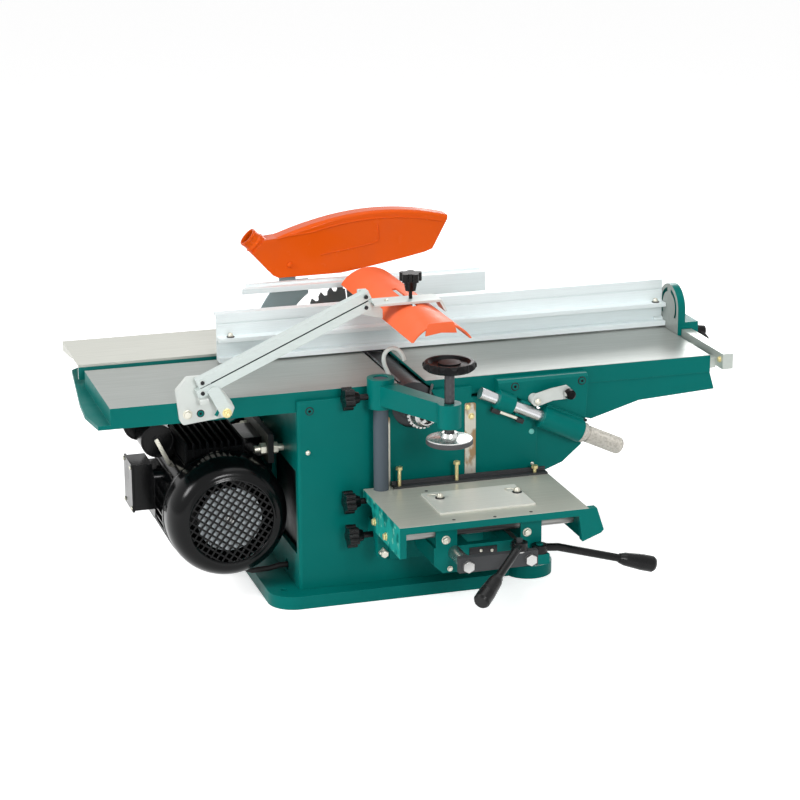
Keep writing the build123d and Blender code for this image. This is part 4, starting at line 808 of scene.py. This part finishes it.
KEY_SPOT, WALL_KEY_SPOT = (-359.7, 355.8, 0.8), (-178.7, 342.7, 0.9)
SCREW_KEY_SPOTS = [(172.0, 357.0, 0.9), (291.0, 357.0, 0.9)]
PLATE_NUT_SPOTS = [(x, y, 0.95) for x, y in PLATE_NUTS]
FENCE_NUT_SPOTS = [(-258.0, 91.0, 0.8), (520.0, 91.0, 0.8)]
TAIL_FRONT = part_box("lower_arm")[0].y + TAIL_STUD_SINK * MM
RACK_SCREW_FRONT = (RACK_COVER_PLACE[1] - RACK_COVER_SIZE[2]) * MM
FASTENERS = [
    ("hex_bolt", FRONT, "bridge_bracket", "frame", "zinc", [(-381.0, 355.8, 0.85)]),
    ("hex_bolt", FRONT, "gib_straps", "frame", "yellow_zinc", [(93.2, 325.0, 0.52), (99.3, 309.1, 0.62)]),
    ("hex_bolt", FRONT, "cross_carriage", "mortise_cross", "zinc",
     [(-4.9, 164.1, 0.8), (133.0, 162.6, 0.8), (1.9, 114.5, 0.5)]),
    ("hex_bolt", LEFT, "mortise_table", "mortise_top", "yellow_zinc",
     [(-207.0, 170.0, 0.75), (-270.0, 166.0, 0.75)]),
    ("hex_bolt", LEFT, "scale_bar", "infeed", "yellow_zinc", [(-134.0, 371.0, 0.6)]),
    ("stud_nut", UP, "base", "frame", "yellow_zinc", [(229.0, -108.0, 0.8)]),
    ("stud_nut", FRONT, "lower_arm", "guard_arm_low", "yellow_zinc", [(-321.0, 359.0, 0.85, TAIL_FRONT)]),
    ("socket_collar", FRONT, "bridge_bracket", "frame", "teal", [KEY_SPOT]),
    ("socket_collar", FRONT, "front_plate", "frame", "teal", [WALL_KEY_SPOT]),
    # Painted shade: the black ring round each painted collar stands for the gap of its counterbore.
    ("ring_socket", FRONT, "bridge_bracket", "frame", "black_oxide", [KEY_SPOT]),
    ("ring_socket", FRONT, "front_plate", "frame", "black_oxide", [WALL_KEY_SPOT]),
    ("socket_collar", FRONT, "adjuster_bracket", "infeed", "teal", SCREW_KEY_SPOTS),
    ("ring_socket", FRONT, "adjuster_bracket", "infeed", "black_oxide", SCREW_KEY_SPOTS),
    ("socket_screw", FRONT, "bridge_bracket", "frame", "black_oxide",
     [(ARM_PIVOT_X, LOWER_PIVOT_Z, 0.5), (ARM_PIVOT_X, UPPER_PIVOT_Z, 0.5)]),
    ("socket_screw", FRONT, "arm_head", "guard_head", "black_oxide",
     [(HEAD_PIVOT_X, HEAD_LOWER_Z, 0.5), (HEAD_PIVOT_X, HEAD_UPPER_Z, 0.5)]),
    ("rivet", FRONT, "front_plate", "frame", "zinc", [(-182.4, 271.7, 0.95), (209.0, 215.1, 0.7)]),
    ("rivet", FRONT, "front_plate", "frame", "pale_teal", [(207.0, 271.8, 1.1)]),
    ("rivet", FRONT, "adjuster_bracket", "infeed", "zinc", [(204.0, 334.5, 1.3)]),
    ("rivet", UP, "arm_head", "guard_head", "zinc", [(-46.4, -124.3, 0.8)]),
    ("rivet", FRONT, "riving_knife", "saw_lift", "orange", [(-118.0, 505.0, 1.15)]),
    ("set_screw", UP, "mortise_table", "mortise_top", "black_oxide",
     [(1.0, -332.0, 1.0), (68.0, -338.0, 1.0), (131.0, -333.0, 1.0), (2.9, -181.8, 1.0)]),
    ("flat_washer", UP, "table_fittings", "mortise_top", "black_oxide", PLATE_NUT_SPOTS),
    ("dome_nut", UP, "table_fittings", "mortise_top", "zinc", PLATE_NUT_SPOTS),
    ("flat_washer", UP, "fence", "planing_fence", "black_oxide", FENCE_NUT_SPOTS),
    ("dome_nut", UP, "fence", "planing_fence", "zinc", FENCE_NUT_SPOTS),
    ("slotted_screw", LEFT, "motor_electrics", "frame", "zinc",
     [(y, z, 0.8) for y in (34.0, 90.0) for z in (152.0, 224.0)]),
    ("slotted_screw", LEFT, "fan_cover", "frame", "black_oxide", [(-60.0, 179.7, 0.9)]),
    ("hex_bolt", REAR, "motor_housing", "frame", "zinc",
     [(MOTOR_X + x, MOTOR_Z + z, 0.6) for x in (-50.0, 50.0) for z in (-50.0, 50.0)]),
    ("hex_bolt", REAR, "rear_plate", "frame", "zinc",
     [(x, z, 0.9) for x in (-186.0, 202.0) for z in (60.0, 300.0)]),
    ("slotted_screw", FRONT, "cross_carriage", "mortise_cross", "zinc",
     [(53.6, 140.5, 0.55, RACK_SCREW_FRONT), (72.3, 139.0, 0.55, RACK_SCREW_FRONT)]),
    ("grommet", LEFT, "side_plates", "frame", "rubber", [(-40.0, 57.0, 1.0)]),
]


def spot_place(node, way, first, second, front=None):
    """A spot's two drawing coordinates pushed on to the node, or set on a front plane where it has one."""
    place = side_place(node, way, first, second)
    if front is None:
        return seat(node, place, way)
    place.y = front
    return place


def fit_fasteners(finishes):
    """Copy every fastener to its spots, to its size there. The shaped ones are then removed."""
    masters = {"slotted_screw": shape_slotted_screw()}
    for shape, way, node, body, finish, spots in FASTENERS:
        if shape not in masters:
            masters[shape] = shape_turned(shape)
        for first, second, size, *front in spots:
            begin(masters[shape])
            bpy.ops.object.duplicate()
            copy = bpy.context.object
            copy.name = f"{shape}_{node}"
            place = spot_place(node, way, first, second, *front)
            set_down(copy, place, facing(way) @ Matrix.Scale(size, 4))
            dress(copy, body, *finishes[finish])
    for master in masters.values():
        bpy.data.objects.remove(master)


# Trim


def smooth_step(value, low, high):
    """0 below a range, 1 above it and an even rise between."""
    share = min(1.0, max(0.0, (value - low) / (high - low)))
    return share * share * (3.0 - 2.0 * share)


def port_ring(back, radius, middle):
    """Places round the dust port, that far behind its mouth."""
    mouth = point(PORT_X, 0, PORT_Z)
    centre = Vector((mouth.x, middle, mouth.z)) + PORT_BACK * back * MM
    turns = [math.tau * step / RING_STEPS for step in range(RING_STEPS + 1)]
    return [centre + (PORT_UP * math.cos(turn) + REAR * math.sin(turn)) * radius * MM for turn in turns]


def crown_run(side, middle, top):
    """Places along one side of the blade cover, a little under its crown."""
    run = []
    for index in range(BEAD_COUNT):
        x = BEAD_START + BEAD_STEP * index
        crown = seat("saw_guard", Vector((x * MM, middle, top)), UP).z
        drop = BEAD_FIRST_DROP + BEAD_MORE_DROP * smooth_step(x, BEAD_DROP_FROM, BEAD_DROP_TO)
        run.append((x * MM, side, crown - drop * MM))
    return run


def fit_cover_beads(look):
    """Moulded beads of the blade cover: one under the crown on each side, a panel line and the port rings."""
    low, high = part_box("saw_guard")
    middle = (low.y + high.y) / 2.0
    made = []
    for side in (low.y, high.y):
        made.append(rod_along("crown_bead", crown_run(side, middle, high.z), CROWN_BEAD_R))
    panel = [(x * MM, low.y, above_base(z)) for x, z in PANEL_LINE]
    made.append(rod_along("panel_bead", panel, FINE_BEAD_R))
    for back, radius in PORT_RINGS:
        made.append(rod_along("port_ring", port_ring(back, radius, middle), FINE_BEAD_R))
    for item in made:
        dress(item, "blade_cover", *look)


def fit_plate(name, size, soft, place, turn, body, look):
    """A flat plate with rounded edges, set down in its place."""
    dress(set_down(soften(flat_bar(name, *size), soft), place, turn), body, *look)


def fit_capacitor_strap(look):
    turn = axes(STRAP_WAY, FRONT.cross(STRAP_WAY), FRONT)
    fit_plate("capacitor_strap", STRAP_SIZE, 0.3, point(*STRAP_PLACE), turn, "frame", look)


def fit_scale_marks(look):
    """Graduations along the infeed bed's end bar."""
    marks = set_down(flat_bar("scale_marks", *MARK_SIZE), point(*MARK_FIRST))
    apply_modifier(marks, "ARRAY", count=MARK_COUNT, use_relative_offset=False, use_constant_offset=True,
                   constant_offset_displace=(0.0, MARK_STEP * MM, 0.0))
    dress(soften(marks, 0.04), "infeed", *look)


def fit_wire_clips(look):
    """A bent wire beside each nut of the work plate."""
    for nut_x, nut_y in PLATE_NUTS:
        run = [point(nut_x + x, nut_y + y, z) for x, y, z in CLIP_BENDS]
        dress(rod_along("wire_clip", run, CLIP_R), "mortise_top", *look)


def fit_stop_pin(look):
    dress(set_down(shape_turned("stop_pin"), point(*PIN_PLACE), facing(PIN_WAY)), "frame", *look)


def fit_slot_hook():
    """Smooth bent hook over the cutter slot, in place of the one with short straight runs."""
    low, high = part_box("slot_hook")
    middle = (low.y + high.y) / 2.0
    route = [Vector((HOOK_BENDS[0][0] * MM, middle, low.z))]
    route += [Vector((x * MM, middle, above_base(z))) for x, z in HOOK_BENDS]
    hook = rod_along("bent_hook", route, HOOK_R, smooth=True)
    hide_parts("slot_hook")
    dress(hook, "frame", "white_paint", finish_of("slot_hook"))


def fit_shade_sheet(look):
    """Black sheet inside the window beside the motor, standing for the shade there."""
    fit_plate("shade_sheet", SHADE_SHEET_SIZE, 0.4, point(*SHADE_SHEET_PLACE), FLAT_TO_RIGHT, "frame", look)


def fit_bracket_face(slot_look):
    """Lug and slot on the face of the guard's bracket."""
    lug_look = ("white_paint", finish_of("bridge_bracket"))
    for name, size, soft, x, z, turn, look in (
            ("bracket_lug", LUG_SIZE, 0.8, LUG_X, LUG_Z, LUG_TURN, lug_look),
            ("bracket_slot", SLOT_SIZE, 0.2, SLOT_X, SLOT_Z, SLOT_TURN, slot_look)):
        place = side_place("bridge_bracket", FRONT, x, z)
        fit_plate(name, size, soft, place, Matrix.Rotation(turn, 4, "Y") @ FLAT_TO_FRONT, "frame", look)


def fit_rack_cover(look):
    """Dark plate over the rack on the front of the cross slide."""
    place = point(*RACK_COVER_PLACE)
    fit_plate("rack_cover", RACK_COVER_SIZE, 0.3, place, FLAT_TO_FRONT, "mortise_cross", look)


def fit_table_stop(finishes):
    """Lug under the mortising table with a stop bolt in it."""
    place = point(*STOP_LUG_PLACE)
    fit_plate("stop_lug", STOP_LUG_SIZE, 1.2, place, Matrix.Identity(4), "mortise_lift", finishes["teal"])
    bolt = set_down(shape_turned("stop_bolt"), point(*STOP_BOLT_PLACE), facing(FRONT))
    dress(bolt, "mortise_lift", *finishes["zinc"])


def fit_bearing_strip(finishes):
    """Steel strip under the screw's upper bearing with a black keeper at each end."""
    pieces = [("bearing_strip", STRIP_SIZE, STRIP_MIDDLE, "zinc")]
    for size, middle in zip(KEEPER_SIZES, KEEPER_MIDDLES):
        pieces.append(("strip_keeper", size, middle, "black_oxide"))
    for name, size, middle, finish in pieces:
        place = point(*SCREW_TOP) + (SCREW_WAY * middle - SCREW_UP * (STRIP_DROP + size[2])) * MM
        fit_plate(name, size, 0.5, place, axes(SCREW_WAY, REAR, SCREW_UP), "infeed", finishes[finish])


def fit_barrel_screw(look):
    """Screw in the lower end of the infeed screw's barrel."""
    offset = SCREW_WAY * BARREL_SCREW_ALONG + SCREW_UP * BARREL_SCREW_UP + REAR * BARREL_SCREW_BACK
    screw = set_down(shape_turned("barrel_screw"), point(*SCREW_TOP) + offset * MM, facing(SCREW_WAY))
    dress(screw, "infeed", *look)


def press_knurl(grip):
    """Sink every other crossing of the rings and sides along the hand's part of the grip."""
    begin(grip)
    bpy.ops.object.mode_set(mode="EDIT")
    bpy.ops.mesh.select_all(action="DESELECT")
    bpy.ops.object.mode_set(mode="OBJECT")
    for vertex in grip.data.vertices:
        ring = round((vertex.co.z / MM - GRIP_START) * KNURL_RINGS / GRIP_LENGTH)
        side = round(math.atan2(vertex.co.y, vertex.co.x) * KNURL_SIDES / math.tau)
        vertex.select = 0 < ring < KNURL_RINGS and (ring + side) % 2 == 0
    bpy.ops.object.mode_set(mode="EDIT")
    bpy.ops.transform.resize(value=(KNURL_SINK, KNURL_SINK, 1.0), center_override=(0.0, 0.0, 0.0))
    bpy.ops.object.mode_set(mode="OBJECT")


def fit_knurled_grip():
    """Hand grip with a diamond knurl pressed into it, in place of the smooth one."""
    rungs = [(196.5, 15.6), (197.4, 16.9), (204.0, 16.9), (205.0, 16.0), (205.4, 13.0), (209.0, 13.0)]
    rungs += [(GRIP_START + GRIP_LENGTH * ring / KNURL_RINGS, GRIP_R) for ring in range(KNURL_RINGS + 1)]
    rungs += [(275.0, 13.4), (277.0, 11.6)]
    grip = turn_up("knurled_hand_grip", KNURL_SIDES, rungs)
    press_knurl(grip)
    set_down(grip, point(*SCREW_TOP), facing(SCREW_WAY))
    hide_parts("adjuster_grip")
    dress(grip, "infeed_screw", "pad_silver", finish_of("adjuster_grip"))


def shoulder_rung(share):
    """Depth and radius on the fan cover's round shoulder, share 0 at the grille rim and 1 at the barrel."""
    angle = math.radians(90.0 * share)
    depth = SHOULDER_START + SHOULDER * (1.0 - math.cos(angle))
    return depth, COVER_RIM_R + (COVER_R - COVER_RIM_R) * math.sin(angle)


def shape_cover_shell():
    """Bowl of the fan cover, drawn back from the rim of its grille, with the wall turned inwards."""
    rungs = [(4.0, GRILLE_R), (1.2, GRILLE_R + 0.8), (0.0, GRILLE_R + 2.6), (0.8, COVER_RIM_R - 1.0)]
    rungs += [shoulder_rung(step / SHOULDER_STEPS) for step in range(SHOULDER_STEPS + 1)]
    bead_r = COVER_R + 0.9
    rungs += [(COVER_LENGTH - 7.0, COVER_R), (COVER_LENGTH - 6.0, bead_r), (COVER_LENGTH, bead_r)]
    shell = turn_up("cover_shell", COVER_SIDES, rungs, open_ends=True)
    return apply_modifier(shell, "SOLIDIFY", thickness=COVER_WALL * MM, offset=-1.0)


def shape_grille():
    """Round lattice with square holes, cut from a square one."""
    begin()
    cells = 2 * math.ceil(GRILLE_R / GRILLE_PITCH) + 1
    side = cells * GRILLE_PITCH * MM
    bpy.ops.mesh.primitive_grid_add(x_subdivisions=cells, y_subdivisions=cells, size=side)
    lattice = bpy.context.object
    bpy.ops.object.mode_set(mode="EDIT")
    bpy.ops.mesh.select_all(action="SELECT")
    bpy.ops.mesh.inset(thickness=GRILLE_BAR / 2.0 * MM, use_individual=True)
    bpy.ops.mesh.delete(type="FACE")
    bpy.ops.object.mode_set(mode="OBJECT")
    apply_modifier(lattice, "SOLIDIFY", thickness=GRILLE_THICK * MM, offset=0.0)
    disc = turn_up("disc", COVER_SIDES, [(-6.0, GRILLE_R + 0.6), (6.0, GRILLE_R + 0.6)])
    cut(lattice, "INTERSECT", disc)
    return set_down(lattice, (0.0, 0.0, GRILLE_DEPTH * MM), Matrix.Rotation(GRILLE_TURN, 4, "Z"))


def fit_fan_cover():
    """Smooth bowl and lattice in place of the plainer turned cover."""
    cover = join("fan_cover_bowl", [shape_cover_shell(), shape_grille()])
    set_down(cover, side_place("fan_cover", FRONT, MOTOR_X, MOTOR_Z), facing(REAR))
    bpy.ops.object.shade_smooth_by_angle(angle=SMOOTH_ANGLE)
    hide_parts("fan_cover")
    dress(cover, "frame", "motor_black", finish_of("fan_cover"))


def fit_motor_fins(look):
    """Upright fins along the top of the motor, on a cast bank, with a wall across their rear."""
    bank = flat_bar("fin_bank", BANK_WIDTH, FIN_LENGTH - FIN_END_THICK, BANK_CROWN - BANK_LOW)
    set_down(bank, point(BANK_MIDDLE_X, FIN_MIDDLE_Y, BANK_LOW))
    dress(soften(bank, 3.0), "frame", *look)
    wall = flat_bar("fin_end", BANK_WIDTH, FIN_END_THICK, FIN_CROWN + FIN_END_RISE - BANK_LOW)
    set_down(wall, point(BANK_MIDDLE_X, FIN_MIDDLE_Y + FIN_LENGTH / 2.0 - FIN_END_BACK, BANK_LOW))
    dress(soften(wall, 0.8), "frame", *look)
    for index in range(FIN_COUNT):
        x = FIN_FIRST_X + FIN_STEP * index
        root = MOTOR_Z + math.sqrt(BARREL_R ** 2 - (x - MOTOR_X) ** 2)
        fin = flat_bar("motor_fin", FIN_LENGTH, FIN_CROWN - root, FIN_THICK)
        middle = point(x - FIN_THICK / 2.0, FIN_MIDDLE_Y, (FIN_CROWN + root) / 2.0)
        dress(soften(set_down(fin, middle, FLAT_TO_RIGHT), 0.7), "frame", *look)


def piece_finishes():
    """Finishes of the small pieces, each after the slot that its pieces fill."""
    even = (1.0, 1.0, 1.0)
    black_oxide = moulded("black_oxide", OXIDE_BLACK, 0.42).done()
    cast_black = enamel("cast_black", FIN_BLACK, FIN_LIT_AND_WORN, rough=0.6, sheen=0.03).done()
    return {
        "zinc": ("galvanised", bare_metal("zinc_plate", ZINC, 0.32, 0.6, even).done()),
        "yellow_zinc": ("galvanised", bare_metal("yellow_zinc", YELLOW_ZINC, 0.32, 0.6, even).done()),
        "black_oxide": ("fitting_black", black_oxide),
        # Black sheet as painted shade in the window beside the motor.
        "shade_sheet_black": ("motor_black", black_oxide),
        "cast_black": ("motor_black", cast_black),
        "pale_teal": ("galvanised", enamel("pale_teal", PALE_TEAL, PALE_TEAL_LIT_AND_WORN).done()),
        "rubber": ("belt_rubber", moulded("grommet_rubber", GROMMET_RUBBER, 0.6).done()),
        "dark_iron": ("fitting_black", bare_metal("pin_iron", PIN_STEEL, 0.4, 0.6).done()),
        "orange": ("cover_orange", finish_of("saw_guard")),
        "teal": ("green_paint", finish_of("front_plate")),
    }


def fit_small_pieces():
    finishes = piece_finishes()
    fit_fasteners(finishes)
    fit_slot_hook()
    fit_shade_sheet(finishes["shade_sheet_black"])
    fit_bracket_face(finishes["teal"])
    fit_rack_cover(finishes["black_oxide"])
    fit_table_stop(finishes)
    fit_bearing_strip(finishes)
    fit_barrel_screw(finishes["black_oxide"])
    fit_fan_cover()
    fit_motor_fins(finishes["cast_black"])
    fit_knurled_grip()
    fit_cover_beads(finishes["orange"])
    fit_capacitor_strap(finishes["zinc"])
    fit_scale_marks(finishes["black_oxide"])
    fit_wire_clips(finishes["zinc"])
    fit_stop_pin(finishes["dark_iron"])


fit_small_pieces()

# Camera, light and floor, in metres. A lamp is a place, the place it looks at, a size and a power in watts

CAMERA_PLACE = (-1.134, -3.755, 1.453)
CAMERA_TILT, CAMERA_TURN, CAMERA_ROLL = math.radians(73.6), math.radians(-17.0), math.radians(-0.3)
CAMERA_LENS, CAMERA_SENSOR = 108.0, 36.0
AMBIENT = 0.34
FLOOR_SIZE, FLOOR_HEIGHT = 60.0, -0.0005
FLOOR_GREY, FLOOR_GLOW = 0.86, 0.66
WHITE = (1.0, 1.0, 1.0, 1.0)
LAMPS = {
    "key": ((-3.0, -0.7, 1.9), (0.0, 0.0, 0.25), 0.9, 56.0),
    "top": ((0.3, -0.4, 2.6), (0.0, 0.0, 0.3), 2.0, 24.0),
    "front": ((0.0, -3.5, 1.5), (0.1, 0.0, 0.25), 0.8, 44.0),
    "back": ((1.8, 3.0, 1.7), (0.0, 0.0, 0.25), 1.2, 38.0),
}


def place_camera():
    camera = bpy.data.objects.new("camera", bpy.data.cameras.new("camera"))
    bpy.context.scene.collection.objects.link(camera)
    camera.data.lens = CAMERA_LENS
    camera.data.sensor_width = CAMERA_SENSOR
    aim = Euler((CAMERA_TILT, 0.0, CAMERA_TURN)).to_matrix() @ Matrix.Rotation(CAMERA_ROLL, 3, "Z")
    camera.rotation_euler = aim.to_euler()
    camera.location = CAMERA_PLACE
    bpy.context.scene.camera = camera


def hang_lamps():
    """Square area lamps, each aimed at a place."""
    for name, (place, target, size, power) in LAMPS.items():
        lamp = bpy.data.lights.new(name, "AREA")
        lamp.size = size
        lamp.energy = power
        item = bpy.data.objects.new(name, lamp)
        bpy.context.scene.collection.objects.link(item)
        item.location = place
        item.rotation_euler = (Vector(target) - Vector(place)).to_track_quat("-Z", "Y").to_euler()


def backdrop_share(tree):
    """1 for rays that should see a clean white surround: camera, glossy and transmission rays."""
    rays = tree.nodes.new("ShaderNodeLightPath")
    total = rays.outputs["Is Camera Ray"]
    for name in ("Is Glossy Ray", "Is Transmission Ray"):
        node = tree.nodes.new("ShaderNodeMath")
        node.operation = "MAXIMUM"
        tree.links.new(total, node.inputs[0])
        tree.links.new(rays.outputs[name], node.inputs[1])
        total = node.outputs[0]
    return total


def light_world():
    """Soft even light, with a white surround for what looks at it."""
    world = bpy.data.worlds.new("studio")
    bpy.context.scene.world = world
    world.use_nodes = True
    tree = world.node_tree
    background = tree.nodes["Background"]
    background.inputs["Color"].default_value = WHITE
    span = tree.nodes.new("ShaderNodeMapRange")
    span.inputs["To Min"].default_value = AMBIENT
    span.inputs["To Max"].default_value = 1.0
    tree.links.new(backdrop_share(tree), span.inputs["Value"])
    tree.links.new(span.outputs["Result"], background.inputs["Strength"])


def lay_floor():
    """Plain pale floor that keeps the shadow of the machine."""
    begin()
    bpy.ops.mesh.primitive_plane_add(size=FLOOR_SIZE, location=(0.0, 0.0, FLOOR_HEIGHT))
    floor = bpy.context.object
    floor.name = "floor"
    material = bpy.data.materials.new("floor")
    material.use_nodes = True
    tree = material.node_tree
    shader = tree.nodes["Principled BSDF"]
    shader.inputs["Base Color"].default_value = (FLOOR_GREY, FLOOR_GREY, FLOOR_GREY, 1.0)
    shader.inputs["Roughness"].default_value = 0.9
    shader.inputs["Specular IOR Level"].default_value = 0.1
    shader.inputs["Emission Color"].default_value = WHITE
    glow = tree.nodes.new("ShaderNodeMath")
    glow.operation = "MULTIPLY"
    glow.inputs[1].default_value = FLOOR_GLOW
    tree.links.new(backdrop_share(tree), glow.inputs[0])
    tree.links.new(glow.outputs[0], shader.inputs["Emission Strength"])
    floor.data.materials.append(material)


place_camera()
light_world()
lay_floor()
hang_lamps()
bpy.context.scene.view_settings.view_transform = "Standard"
